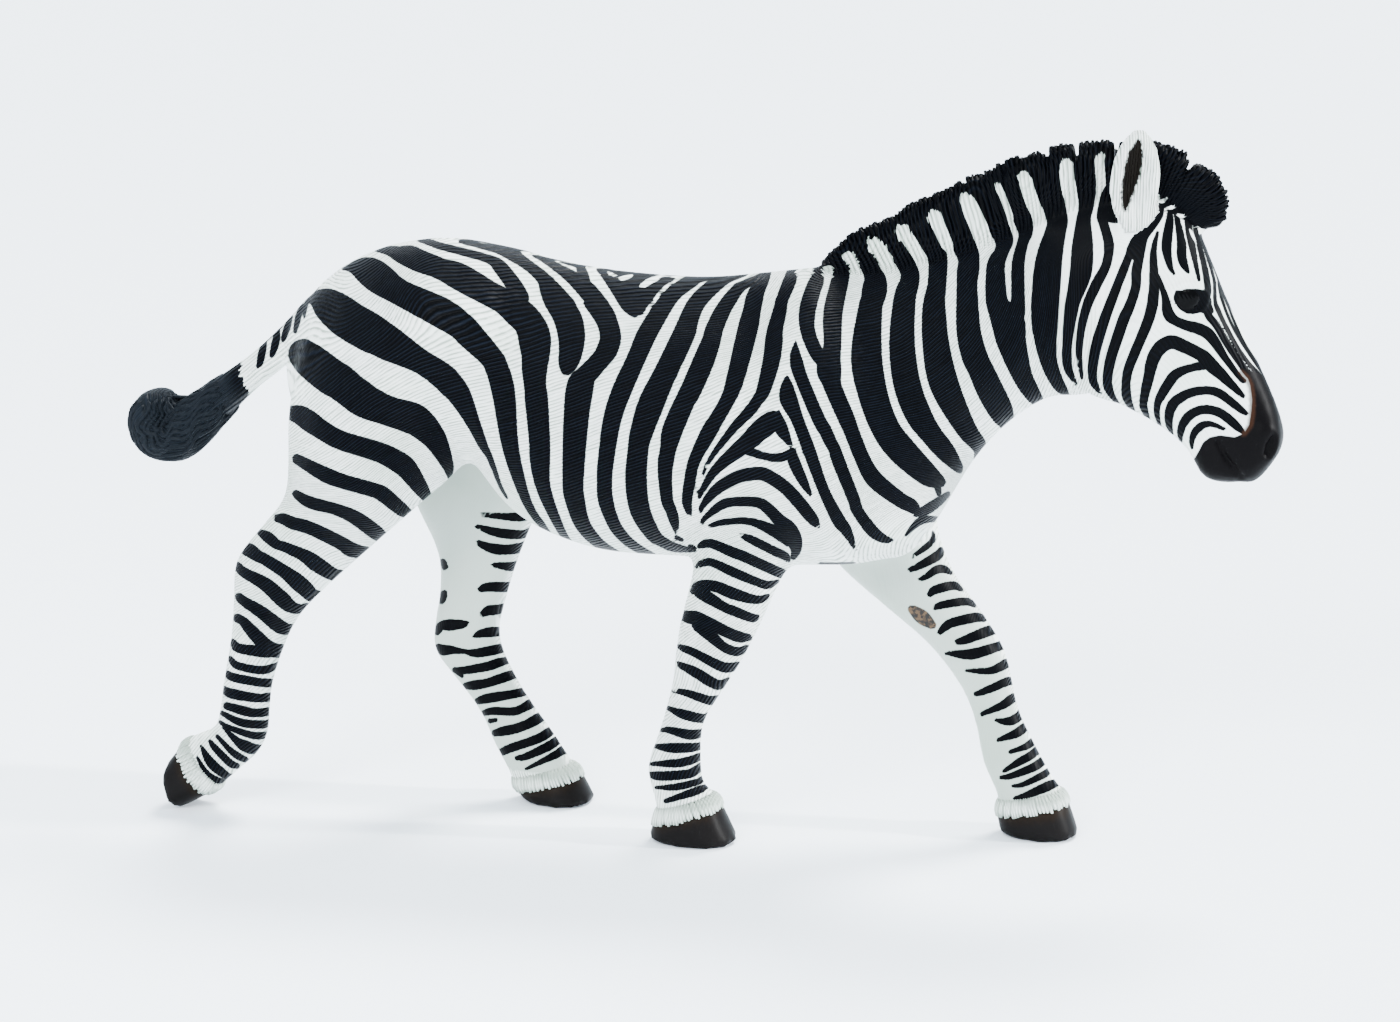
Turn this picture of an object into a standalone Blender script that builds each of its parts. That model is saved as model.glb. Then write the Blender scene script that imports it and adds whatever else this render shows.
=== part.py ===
"""Walking zebra figurine, cast in one piece and standing on its four hooves.

The figure faces +X and +Z is up. The origin is under the middle of its box, on the surface it stands on.
Every free form is a loft through cross-sections that are read off the side view. The numbers in the tables
are millimetres on a figure 152 mm high at the withers, and UNIT turns them into metres at WITHERS_HEIGHT.
"""

import math
import random

import bmesh
import bpy
import numpy as np
from mathutils import Vector

# Driving sizes, in metres
WITHERS_HEIGHT = 0.152
BARREL_WIDTH = 0.066
NECK_WIDTH = 0.028
HEAD_WIDTH = 0.027
TRACK_WIDTH = 0.028
HOOF_WIDTH = 0.018
MANE_THICKNESS = 0.0066
TAIL_WIDTH = 0.0110
EAR_WIDTH = 0.0132
EAR_WALL = 0.0022
EYE_DIAMETER = 0.0064

UNIT = WITHERS_HEIGHT / 152

# How fine the surfaces are made before they are thinned out to the triangles that the solid keeps
BODY_VOXEL = 1.3 * UNIT
DETAIL_VOXEL = 0.75 * UNIT
BODY_SMOOTHING = 14
DETAIL_SMOOTHING = 2
KEPT_TRIANGLES = 9700
RING_POINTS = 28

# Trunk: top x, z and bottom x, z of each cross-section, share of the barrel's width, and top taper
TRUNK = [
    (-103, 140, -104, 104, 0.42, -0.05),
    (-98, 145.5, -100.5, 95, 0.64, -0.05),
    (-90.5, 150.6, -92, 94, 0.78, -0.08),
    (-80, 154.9, -79, 97, 0.86, -0.10),
    (-66, 157.0, -65, 101, 0.90, -0.12),
    (-54, 155.8, -55, 100, 0.90, -0.14),
    (-45, 154.4, -47, 88.5, 0.92, -0.14),
    (-36, 152, -38, 81, 0.95, -0.14),
    (-18, 149.5, -20, 75.4, 1.00, -0.14),
    (4, 148.5, 2, 74.8, 1.00, -0.16),
    (24, 150.5, 22, 74.4, 0.95, -0.24),
    (38, 152, 38, 74.2, 0.86, -0.36),
]

# Neck: the same, with shares of the neck's width
NECK = [
    (47, 152.5, 54, 76, 1.72, -0.42),
    (56, 153.5, 66, 84, 1.50, -0.40),
    (65, 156, 72, 94, 1.28, -0.36),
    (74, 159, 78, 104, 1.10, -0.32),
    (84, 163, 86, 113, 1.00, -0.28),
    (94, 167, 93.5, 118.6, 0.92, -0.24),
    (104, 170.5, 101, 123, 0.86, -0.18),
    (112, 172, 106, 133, 0.78, -0.12),
]

# Head, from the poll to the lips: forehead x, z and jaw x, z, share of the width, front taper
HEAD = [
    (125, 173, 104, 158, 0.62, 0.05),
    (132, 166.5, 103.5, 147, 0.82, 0.10),
    (136.5, 157.5, 104, 138, 0.93, 0.14),
    (139.5, 150, 106, 130, 0.95, 0.10),
    (144, 141, 112.5, 121, 0.86, -0.02),
    (148, 134, 121.5, 116, 0.70, -0.06),
    (151.5, 127, 128.5, 111.5, 0.60, 0.00),
    (154.8, 119.5, 133, 107, 0.58, 0.06),
    (156.4, 112.5, 136.5, 102.6, 0.60, 0.06),
    (154.8, 107.0, 140.5, 100.8, 0.54, 0.02),
    (150.8, 102.6, 144.5, 100.2, 0.38, 0.0),
]

# Legs: front x, z and back x, z, offset of the centre outside the track, and half-width
NEAR_HIND = [
    (-46, 132, -92, 143, -2.0, 12.0),
    (-46, 118, -98, 132, 2.0, 14.5),
    (-50, 106.5, -101, 122, 3.8, 15.5),
    (-57, 97, -103, 110, 4.6, 14.8),
    (-65, 90, -103, 99, 4.8, 13.2),
    (-71, 84.5, -104.6, 89, 4.6, 11.6),
    (-79, 77.5, -110, 82.5, 4.2, 9.8),
    (-89, 68.5, -116.5, 75.5, 3.6, 8.2),
    (-96, 62, -120.5, 69.5, 3.2, 7.4),
    (-101.5, 56.5, -121, 62, 2.6, 6.7),
    (-105.5, 50, -121.7, 53.5, 2.2, 6.2),
    (-108.3, 43.5, -123.6, 43.5, 1.9, 5.6),
    (-110.6, 37, -125.5, 35, 1.6, 5.3),
    (-112, 30, -126.4, 28.5, 1.2, 5.6),
    (-112.8, 22.5, -128, 23, 0.8, 6.4),
    (-115.5, 16.5, -131.5, 21.5, 0.5, 6.2),
    (-120.5, 12, -135, 20.2, 0.2, 6.0),
    (-124.8, 8, -137.2, 18.8, 0.0, 6.8),
    (-129.0, 4.9, -138.6, 17.4, 0.0, 7.7),
]
FAR_HIND = [
    (-44, 126, -84, 140, -2.0, 11.0),
    (-41, 108, -88, 124, 1.0, 13.5),
    (-41, 96, -88, 108, 3.0, 13.5),
    (-43.5, 86, -84.5, 92, 3.8, 12.4),
    (-47, 77.5, -79.5, 79, 4.0, 10.8),
    (-49.5, 71.5, -75.5, 71.5, 3.8, 9.2),
    (-52, 64.5, -73.5, 64, 3.4, 8.0),
    (-54.5, 56, -74, 56, 3.0, 7.2),
    (-56.5, 47.5, -75.5, 47.5, 2.6, 6.8),
    (-55.4, 41.5, -75.9, 41.3, 2.2, 6.4),
    (-52, 35, -71, 34.8, 1.8, 5.8),
    (-48.1, 28.8, -65.4, 28.6, 1.4, 5.4),
    (-43.8, 22.8, -60.6, 21.8, 1.0, 5.8),
    (-40.0, 18.2, -58.3, 16.2, 0.6, 6.5),
    (-37.2, 13.8, -55, 10.6, 0.3, 6.1),
    (-34.4, 10.2, -52.5, 6.2, 0.0, 7.0),
    (-33.0, 7.8, -52.0, 3.0, 0.0, 8.0),
]
NEAR_FORE = [
    (44, 128, 16, 124, -3.0, 9.0),
    (44, 112, 9, 110, 1.0, 12.5),
    (42, 99, 7, 97, 3.6, 13.2),
    (38.8, 89.5, 7.4, 86, 4.4, 12.2),
    (34.6, 81, 8, 78.5, 4.4, 10.8),
    (30.4, 72.2, 6, 69.5, 4.0, 9.2),
    (26.4, 63, 3.6, 61, 3.6, 8.0),
    (22.8, 55, 2.1, 53, 3.2, 7.4),
    (18.2, 47, 1.5, 45, 2.8, 7.2),
    (13.8, 40, -0.4, 38, 2.2, 6.4),
    (10.0, 34, -2.4, 31.4, 1.8, 5.6),
    (8.8, 28, -4.6, 25.2, 1.4, 5.5),
    (8.6, 22.4, -6.4, 19.6, 1.0, 6.3),
    (8.6, 18, -5.2, 14.8, 0.6, 6.0),
    (9.8, 14.6, -3.9, 10.2, 0.2, 6.4),
    (12.4, 11.6, -3.9, 6.4, 0.0, 7.6),
]
FAR_FORE = [
    (58, 118, 36, 112, -4.0, 8.0),
    (63, 104, 33, 97, 0.0, 11.0),
    (64.5, 93, 33, 84, 2.0, 11.6),
    (65.4, 81, 37, 72, 3.0, 10.8),
    (69.4, 70, 45, 64.5, 3.2, 9.6),
    (75.4, 62, 53, 58, 3.2, 8.4),
    (80.6, 55, 61.5, 51.5, 3.0, 7.7),
    (84.5, 48.2, 67.6, 45, 2.6, 7.4),
    (86.3, 41, 72.2, 38.8, 2.2, 6.5),
    (87.8, 34.5, 75.2, 32.3, 1.8, 5.7),
    (90.6, 28.4, 77, 26, 1.4, 5.5),
    (94.2, 21.8, 78.2, 19.8, 1.0, 6.3),
    (97, 17, 80.2, 15, 0.6, 6.1),
    (100, 12.8, 83, 10.2, 0.2, 6.6),
    (101.6, 9.6, 83, 6.6, 0.0, 7.8),
]

# Hooves: side, coronet front x, z and back x, z, then ground front x, z and back x, z. The soles of the
# forms reach below the ground and are cut flat there.
HOOVES = {
    "near_hind": (-1, (-129.4, 4.4, -138.0, 17.2), (-138.8, -0.8, -143.0, 11.4)),
    "far_hind": (1, (-33.0, 8.2, -51.4, 3.2), (-28.4, -1.0, -47.6, -1.0)),
    "near_fore": (-1, (13.6, 10.4, -4.6, 5.0), (19.0, -1.0, -6.4, -1.0)),
    "far_fore": (1, (101.8, 9.8, 82.8, 5.8), (105.6, -1.0, 84.0, -1.0)),
}

# Tail: top x, z and bottom x, z, share of the width
TAIL = [
    (-96, 144, -100, 130, 1.2),
    (-101.5, 142, -105.5, 127.5, 1.1),
    (-106.4, 137.4, -109, 122.8, 1.0),
    (-112, 131.8, -113.8, 118.4, 0.94),
    (-117.8, 126.4, -118.4, 115.2, 0.92),
    (-123.4, 122.0, -121.4, 112.6, 0.98),
    (-129.5, 117.9, -125.2, 109.2, 1.12),
    (-135, 114.0, -129.4, 105, 1.30),
    (-139.8, 110.8, -133.5, 100.6, 1.48),
    (-142.4, 107.8, -137.6, 96.6, 1.60),
    (-143.6, 105.0, -143.6, 93.8, 1.68),
    (-144.2, 104.2, -151.0, 95.6, 1.70),
    (-143.9, 106.6, -155, 100.6, 1.70),
    (-143.4, 109.2, -155.6, 106.6, 1.62),
    (-144.6, 112.0, -153.2, 111.4, 1.30),
]
TUFT_STARTS = 6
TUFT_LOCKS = 9

# Mane: each row is the foot x, z and the tip x, z of its hair, from the withers to the forelock
MANE = [
    (38, 151, 36.8, 152.2),
    (45, 150.8, 41.4, 156.6),
    (55, 151.8, 49.6, 161.5),
    (63.5, 154, 57.6, 165.6),
    (70, 156, 65.2, 169.4),
    (79, 159, 74.4, 174.4),
    (87, 162.4, 83.0, 178.0),
    (93, 165, 90.5, 180.5),
    (100.6, 168.6, 99.1, 183.4),
    (108, 170.6, 107.8, 185.2),
    (114.5, 172, 115.2, 185.5),
    (120.5, 172.6, 123.3, 184.9),
    (125.4, 171.8, 130.3, 182.0),
    (129, 169.8, 136.2, 177.9),
    (131.4, 167, 139.5, 172.1),
    (133, 164.6, 139.5, 165.7),
]
MANE_LOCKS = 46

# Ears: side, foot x, y, z, tip x, y, z and the way that the opening faces
EARS = {
    "near": (-1, (117.5, 9.2, 166.5), (119.2, 11.2, 190.4), (0.35, 1.0, 0.1)),
    "far": (1, (117.0, 9.0, 166.0), (106.0, 15.0, 183.6), (0.1, 1.0, 0.2)),
}
EAR_LEAF = [(-0.12, 0.55), (0.05, 0.72), (0.3, 0.98), (0.52, 1.0), (0.75, 0.82), (0.92, 0.48), (1.0, 0.16)]

# Swellings (plus) and hollows (minus) seen from each side: path of x, z points, half-width, height
FLESH = [
    ([(34, 145), (46, 124), (55, 107)], 9.5, 1.5),
    ([(23, 140), (27, 118), (20, 99)], 4.5, -0.9),
    ([(27, 112), (15, 96)], 8.5, 1.5),
    ([(44, 98), (36, 88)], 7.0, 0.9),
    ([(47, 147), (62, 124), (68, 108)], 4.5, -0.8),
    ([(62, 139), (86, 139), (100, 142)], 9.0, 0.9),
    ([(74, 112), (85, 121), (98, 131)], 3.5, -0.7),
    ([(-32, 112), (-10, 104), (12, 108)], 14.0, 0.8),
    ([(-37, 137), (-30, 132)], 7.0, -0.7),
    ([(-49, 141), (-52, 137)], 6.0, 1.2),
    ([(-60, 146), (-82, 138)], 9.0, 0.8),
    ([(-70, 128), (-84, 112), (-86, 98)], 12.0, 1.5),
    ([(-90, 138), (-96, 118), (-97, 102)], 3.5, -0.7),
    ([(-45, 120), (-50, 108)], 6.0, -1.3),
    ([(-57, 101), (-66, 92)], 7.5, 0.8),
]

# The same for the head
FACE = [
    ([(111, 142), (117, 131)], 8.0, 1.2),
    ([(124, 142), (141, 121)], 1.8, 0.7),
    ([(126, 132), (138, 116)], 4.0, -0.7),
    ([(124, 158), (131, 156)], 4.5, -0.8),
    ([(128, 152.2), (136, 150.2)], 2.4, 0.9),
    ([(152.4, 115.6), (155, 112.5), (153.6, 108.8)], 1.8, 0.8),
    ([(108, 152), (103, 139)], 3.5, -0.7),
]

EYE_PLACE = (132.4, 10.8, 148.0)
NOSTRIL_SLIT = [(152.5, 6.8, 110.5), (153.9, 6.8, 113.5)]
MOUTH_LINE = [(139.8, 112.6), (142.0, 109.0), (144.2, 105.0), (145.6, 101.8), (145.8, 99.6)]


def material(name, colour, roughness):
    """A plain paint for the solid."""
    made = bpy.data.materials.new(name)
    made.use_nodes = True
    shader = made.node_tree.nodes["Principled BSDF"]
    shader.inputs["Base Color"].default_value = (*colour, 1.0)
    shader.inputs["Roughness"].default_value = roughness
    shader.inputs["Metallic"].default_value = 0.0
    return made


def smooth_rows(rows, steps):
    """Rows between the given ones, on a smooth curve through them (Catmull-Rom)."""
    rows = np.asarray(rows, float)
    padded = np.vstack([2 * rows[0] - rows[1], rows, 2 * rows[-1] - rows[-2]])
    out = []
    for i in range(len(rows) - 1):
        a, b, c, d = padded[i : i + 4]
        for k in range(steps):
            t = k / steps
            bend = 2 * a - 5 * b + 4 * c - d
            twist = 3 * b - a - 3 * c + d
            out.append(0.5 * (2 * b + (c - a) * t + bend * t**2 + twist * t**3))
    out.append(rows[-1])
    return np.array(out)


def ring(top, bottom, centre_y, half_width, taper, fullness):
    """One cross-section: an egg-shaped ring through the top and bottom points, half_width wide each side."""
    top = np.array([top[0], centre_y, top[1]])
    bottom = np.array([bottom[0], centre_y, bottom[1]])
    middle = (top + bottom) / 2
    reach = (top - bottom) / 2
    power = 2 / fullness
    points = []
    for k in range(RING_POINTS):
        angle = 2 * math.pi * k / RING_POINTS
        up = math.copysign(abs(math.cos(angle)) ** power, math.cos(angle))
        side = math.copysign(abs(math.sin(angle)) ** power, math.sin(angle))
        width = half_width * (1 + taper * up)
        points.append(middle + reach * up + np.array([0, side * width, 0]))
    return np.array(points)


def placed(name, mesh):
    """Turns a bmesh into an object of the scene."""
    data = bpy.data.meshes.new(name)
    mesh.to_mesh(data)
    mesh.free()
    made = bpy.data.objects.new(name, data)
    bpy.context.scene.collection.objects.link(made)
    return made


def cap(first, second, rounded):
    """The rings that round off one end of a loft, and the point that closes it."""
    centre = first.mean(axis=0)
    if not rounded:
        return [], centre
    out = centre - second.mean(axis=0)
    radius = np.linalg.norm(first - centre, axis=1).min()
    out = out / np.linalg.norm(out) * radius * 0.45
    rings = [centre + (first - centre) * math.sqrt(1 - lift**2) + out * lift for lift in (0.5, 0.82)]
    return rings, centre + out


def skin(name, rings, round_start=True, round_end=True):
    """A closed mesh object through a row of rings, in table millimetres."""
    rings = list(rings)
    start, start_tip = cap(rings[0], rings[1], round_start)
    end, end_tip = cap(rings[-1], rings[-2], round_end)
    rings = start[::-1] + rings + end
    mesh = bmesh.new()
    rows = [[mesh.verts.new(point * UNIT) for point in row] for row in rings]
    for lower, upper in zip(rows, rows[1:]):
        for k in range(RING_POINTS):
            n = (k + 1) % RING_POINTS
            mesh.faces.new((lower[k], lower[n], upper[n], upper[k]))
    for row, tip in ((rows[0], start_tip), (rows[-1], end_tip)):
        point = mesh.verts.new(tip * UNIT)
        for k in range(RING_POINTS):
            mesh.faces.new((row[k], row[(k + 1) % RING_POINTS], point))
    bmesh.ops.recalc_face_normals(mesh, faces=mesh.faces)
    return placed(name, mesh)


def egg(name, centre, radii, lean=0.0):
    """An ellipsoid, leaning about the Y axis by so many degrees."""
    mesh = bmesh.new()
    bmesh.ops.create_uvsphere(mesh, u_segments=32, v_segments=20, radius=1.0)
    angle = math.radians(lean)
    for vertex in mesh.verts:
        x, y, z = (vertex.co[i] * radii[i] for i in range(3))
        turned_x = x * math.cos(angle) + z * math.sin(angle)
        turned_z = z * math.cos(angle) - x * math.sin(angle)
        vertex.co = Vector((turned_x + centre[0], y + centre[1], turned_z + centre[2])) * UNIT
    return placed(name, mesh)


def baked(obj):
    """The same object with its modifiers made part of its mesh."""
    graph = bpy.context.evaluated_depsgraph_get()
    data = bpy.data.meshes.new_from_object(obj.evaluated_get(graph))
    obj.modifiers.clear()
    obj.data = data
    return obj


def fused(name, pieces, voxel, smoothing):
    """One closed mesh from overlapping ones, with the hollows between them eased over."""
    mesh = bmesh.new()
    for piece in pieces:
        mesh.from_mesh(piece.data)
        bpy.data.objects.remove(piece)
    joined = placed(name, mesh)
    remesh = joined.modifiers.new("fuse", "REMESH")
    remesh.mode = "VOXEL"
    remesh.voxel_size = voxel
    smooth = joined.modifiers.new("ease", "SMOOTH")
    smooth.factor = 0.5
    smooth.iterations = round(smoothing)
    return baked(joined)


def points_and_normals(obj):
    """The points of an object's mesh and their normals, as two arrays."""
    found = []
    for name in ("co", "normal"):
        values = np.empty(len(obj.data.vertices) * 3)
        obj.data.vertices.foreach_get(name, values)
        found.append(values.reshape(-1, 3))
    return found


def move_points(obj, points):
    """Gives the points of an object's mesh new places."""
    obj.data.vertices.foreach_set("co", points.ravel())
    obj.data.update()


def distance_to(points, path):
    """How far each point lies from a path of points."""
    path = np.asarray(path, float)
    nearest = np.full(len(points), np.inf)
    for a, b in zip(path[:-1], path[1:]):
        along = b - a
        share = np.clip(((points - a) @ along) / (along @ along), 0, 1)
        nearest = np.minimum(nearest, np.linalg.norm(points - a - share[:, None] * along, axis=1))
    return nearest


def swell(obj, path, half_width, height):
    """Raises (or, below zero, sinks) both flanks of the mesh along a path that is seen from the side."""
    points, normals = points_and_normals(obj)
    away = distance_to(points[:, [0, 2]], np.array(path) * UNIT) / (half_width * UNIT)
    outward = np.clip(normals[:, 1] * np.sign(points[:, 1]), 0, 1)
    raised = height * UNIT * np.exp(-(away**2)) * outward**0.5
    move_points(obj, points + normals * raised[:, None])


def press(obj, path, half_width, depth):
    """Presses a groove into the mesh along a path in space."""
    points, normals = points_and_normals(obj)
    away = distance_to(points, path) / half_width
    move_points(obj, points - normals * (depth * np.exp(-(away**2)))[:, None])


def trunk_and_neck():
    """The loft of the body, from the buttocks to the poll."""
    barrel = BARREL_WIDTH / 2 / UNIT
    neck = NECK_WIDTH / 2 / UNIT
    rows = [(*row[:4], row[4] * barrel, row[5]) for row in TRUNK]
    rows += [(*row[:4], row[4] * neck, row[5]) for row in NECK]
    rings = [ring(r[0:2], r[2:4], 0, r[4], r[5], 2.15) for r in smooth_rows(rows, 4)]
    return skin("trunk", rings)


def head():
    """The loft of the head, from the poll to the lips, with its cheeks, brows, lips and chin."""
    width = HEAD_WIDTH / 2 / UNIT
    rows = [(*row[:4], row[4] * width, row[5]) for row in HEAD]
    pieces = [skin("skull", [ring(r[0:2], r[2:4], 0, r[4], r[5], 2.35) for r in smooth_rows(rows, 4)])]
    for side in (-1, 1):
        pieces.append(egg("cheek", (115.5, side * width * 0.48, 134.5), (12, width * 0.42, 15), 28))
        pieces.append(egg("brow", (132.4, side * width * 0.61, 150.8), (6.2, width * 0.28, 4.2), 30))
        pieces.append(egg("nostril", (151.4, side * width * 0.34, 112.4), (4.4, width * 0.29, 5.6), 20))
    pieces.append(egg("upper_lip", (147.9, 0, 104.8), (4.6, width * 0.46, 4.8), 30))
    pieces.append(egg("chin", (138.8, 0, 104.4), (5.4, width * 0.43, 4.2), 35))
    pieces.append(egg("throat", (102.5, 0, 127.5), (9.5, NECK_WIDTH * 0.25 / UNIT, 7.0), 0))
    return pieces


def leg(name, rows, side):
    """The loft of one leg. The rows give how far its centre stands outside the track."""
    track = TRACK_WIDTH / 2 / UNIT
    rings = [ring(r[0:2], r[2:4], side * (track + r[4]), r[5], 0, 2.1) for r in smooth_rows(rows, 3)]
    return skin(name, rings)


def hoof(name, side, coronet, ground):
    """One hoof: from under the coronet it flares out to its flat sole."""
    half = HOOF_WIDTH / 2 / UNIT
    centre_y = side * TRACK_WIDTH / 2 / UNIT
    coronet = np.array(coronet)
    ground = np.array(ground)
    rings = []
    for share, wide in ((-0.22, 0.70), (0.0, 0.88), (0.06, 0.92), (0.5, 0.97), (1.0, 1.0)):
        row = coronet + (ground - coronet) * share
        rings.append(ring(row[0:2], row[2:4], centre_y, half * wide, 0.12, 2.3))
    return skin("hoof_" + name, rings, round_start=True, round_end=False)


def tail():
    """The tail, which thickens into a tuft of hair that curls up at its end, with its locks round it."""
    half = TAIL_WIDTH / 2 / UNIT
    rows = smooth_rows([(*r[:4], r[4] * half) for r in TAIL], 3)
    rings = [ring(r[0:2], r[2:4], 0, r[4], 0, 2.0) for r in rows]
    pieces = [skin("tail", rings)]
    for k in range(TUFT_LOCKS):
        column = round(RING_POINTS * (k + 0.5) / TUFT_LOCKS) % RING_POINTS
        lock = []
        for ring_points in rings[TUFT_STARTS * 3 :]:
            centre = ring_points.mean(axis=0)
            place = centre + (ring_points[column] - centre) * 0.84
            lock.append(place + (ring_points - centre) * 0.27)
        pieces.append(skin("tuft_lock", lock))
    return pieces


def mane():
    """The upright mane: a row of flat locks side by side, each a little longer or shorter than the next."""
    chance = random.Random(7)
    half = MANE_THICKNESS / 2 / UNIT
    rows = smooth_rows(MANE, 12)
    last = len(rows) - 1
    locks = []
    for k in range(MANE_LOCKS):
        row = rows[round(k * last / (MANE_LOCKS - 1))]
        after = rows[min(last, round((k + 1) * last / (MANE_LOCKS - 1)))]
        before = rows[max(0, round((k - 1) * last / (MANE_LOCKS - 1)))]
        along = (after - before) / 2
        reach = (row[2:4] - row[0:2]) * (1 + chance.uniform(-0.045, 0.045))
        sway = chance.uniform(-0.35, 0.35)
        rings = []
        for share, thick in ((-0.25, 1.0), (0.1, 1.0), (0.55, 0.90), (0.88, 0.78), (1.0, 0.55)):
            centre = row[0:2] + reach * share
            spread = along[0:2] + (along[2:4] - along[0:2]) * max(0, share)
            spread = spread * (0.66 if share < 0.95 else 0.5)
            rings.append(ring(centre + spread, centre - spread, sway * share, half * thick, 0, 2.6))
        locks.append(skin("lock", rings, round_start=False, round_end=True))
    return locks


def leaf(name, foot, tip, facing, half_width, forward, narrower):
    """A leaf-shaped loft from foot to tip, narrower and further forward by so much."""
    up = (tip - foot).normalized()
    facing = (facing - up * facing.dot(up)).normalized()
    across = up.cross(facing)
    length = (tip - foot).length
    rings = []
    for share, width in EAR_LEAF:
        half = max(0.3, half_width * width - narrower)
        centre = foot + up * (length * share - narrower * max(0, share)) + facing * forward
        points = []
        for k in range(RING_POINTS):
            angle = 2 * math.pi * k / RING_POINTS
            aside = across * (half * math.sin(angle))
            points.append(centre + aside + facing * (half * 0.52 * math.cos(angle)))
        rings.append(np.array(points))
    return skin(name, rings)


def ear(name, side, foot, tip, facing):
    """One ear: a leaf with a hollow front, cut by a leaf that is a wall smaller."""
    foot, tip, facing = (Vector((v[0], side * v[1], v[2])) for v in (foot, tip, facing))
    half_width = EAR_WIDTH / 2 / UNIT
    wall = EAR_WALL / UNIT
    outer = leaf("ear_" + name, foot, tip, facing, half_width, 0.0, 0.0)
    hollow = leaf("ear_hollow", foot, tip, facing, half_width, wall * 1.25, wall)
    hollow.hide_render = True
    cut = outer.modifiers.new("hollow", "BOOLEAN")
    cut.operation = "DIFFERENCE"
    cut.object = hollow
    baked(outer)
    bpy.data.objects.remove(hollow)
    return outer


def eyes():
    """The two eyeballs, set into the sides of the head."""
    radius = EYE_DIAMETER / 2 / UNIT
    x, y, z = EYE_PLACE
    radii = (radius * 1.1, radius * 0.8, radius * 0.92)
    return [egg("eye", (x, side * (y - radius / 8), z), radii) for side in (-1, 1)]


def breast():
    """The two muscles between the forelegs."""
    return [egg("breast", (56.5, side * 7.0, 89), (9.5, 8.5, 12), -20) for side in (-1, 1)]


def body():
    """Trunk, neck, head and legs, fused and eased into one form, with the swell of the muscles on it."""
    pieces = [trunk_and_neck(), *head(), *breast()]
    pieces.append(leg("near_hind", NEAR_HIND, -1))
    pieces.append(leg("far_hind", FAR_HIND, 1))
    pieces.append(leg("near_fore", NEAR_FORE, -1))
    pieces.append(leg("far_fore", FAR_FORE, 1))
    form = fused("body", pieces, BODY_VOXEL, BODY_SMOOTHING)
    for path, half_width, height in FLESH + FACE:
        swell(form, path, half_width, height)
    return form


def carve_face(figure):
    """Presses in the mouth, the nostrils and the rim round each eye."""
    for side in (-1, 1):
        width = HEAD_WIDTH / 2 / UNIT
        fall = [0.60, 0.60, 0.52, 0.34, 0.0]
        mouth = [Vector((x, side * width * y, z)) * UNIT for (x, z), y in zip(MOUTH_LINE, fall)]
        press(figure, mouth, 0.9 * UNIT, 1.1 * UNIT)
        nostril = [Vector((x, side * y, z)) * UNIT for x, y, z in NOSTRIL_SLIT]
        press(figure, nostril, 1.4 * UNIT, 2.2 * UNIT)
        x, y, z = EYE_PLACE
        reach = EYE_DIAMETER / UNIT * 0.62
        rim = []
        for k in range(17):
            angle = 2 * math.pi * k / 16
            place = Vector((x + reach * math.cos(angle), side * y, z + 0.7 * reach * math.sin(angle)))
            rim.append(place * UNIT)
        press(figure, rim, 0.8 * UNIT, 0.7 * UNIT)


def cut_soles(figure):
    """Cuts off flat what reaches below the ground."""
    mesh = bmesh.new()
    mesh.from_mesh(figure.data)
    whole = mesh.verts[:] + mesh.edges[:] + mesh.faces[:]
    up = Vector((0, 0, 1))
    bmesh.ops.bisect_plane(mesh, geom=whole, plane_co=up * 0, plane_no=up, clear_inner=True)
    rims = [edge for edge in mesh.edges if edge.is_boundary]
    bmesh.ops.edgeloop_fill(mesh, edges=rims)
    bmesh.ops.recalc_face_normals(mesh, faces=mesh.faces)
    mesh.to_mesh(figure.data)
    mesh.free()


def centre_on_box(figure):
    """Moves the figure so that its box is centred over the origin."""
    points, _ = points_and_normals(figure)
    shift = (points.min(axis=0) + points.max(axis=0)) / 2
    shift[2] = 0.0
    move_points(figure, points - shift)


def zebra():
    """The whole figure as one closed solid."""
    pieces = [body(), *tail(), *mane(), *eyes()]
    pieces += [hoof(name, *row) for name, row in HOOVES.items()]
    pieces += [ear(name, *row) for name, row in EARS.items()]
    figure = fused("zebra", pieces, DETAIL_VOXEL, DETAIL_SMOOTHING)
    carve_face(figure)
    triangles = sum(len(face.vertices) - 2 for face in figure.data.polygons)
    thin = figure.modifiers.new("thin", "DECIMATE")
    thin.ratio = min(1.0, KEPT_TRIANGLES / triangles)
    baked(figure)
    cut_soles(figure)
    centre_on_box(figure)
    figure.data.shade_smooth()
    figure.data.materials.clear()
    figure.data.materials.append(material("painted_resin", (0.82, 0.84, 0.82), 0.45))


for old in list(bpy.data.objects):
    bpy.data.objects.remove(old)
zebra()
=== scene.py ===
import math
import random
from functools import partial

import bmesh
import bpy
import numpy as np
from mathutils import Matrix, Vector


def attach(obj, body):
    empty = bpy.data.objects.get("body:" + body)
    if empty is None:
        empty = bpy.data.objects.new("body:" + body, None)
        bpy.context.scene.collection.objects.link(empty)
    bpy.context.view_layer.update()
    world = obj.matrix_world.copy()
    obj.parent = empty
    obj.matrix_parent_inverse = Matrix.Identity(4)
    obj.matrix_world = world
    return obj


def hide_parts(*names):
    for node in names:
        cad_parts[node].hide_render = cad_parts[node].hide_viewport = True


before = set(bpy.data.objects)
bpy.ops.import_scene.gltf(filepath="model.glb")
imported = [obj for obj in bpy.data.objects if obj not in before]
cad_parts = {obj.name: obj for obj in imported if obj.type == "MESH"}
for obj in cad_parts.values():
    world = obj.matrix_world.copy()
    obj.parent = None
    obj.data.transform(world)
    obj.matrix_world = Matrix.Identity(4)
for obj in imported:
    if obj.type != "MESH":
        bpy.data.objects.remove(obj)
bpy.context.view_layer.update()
print("frame loaded")

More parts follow.
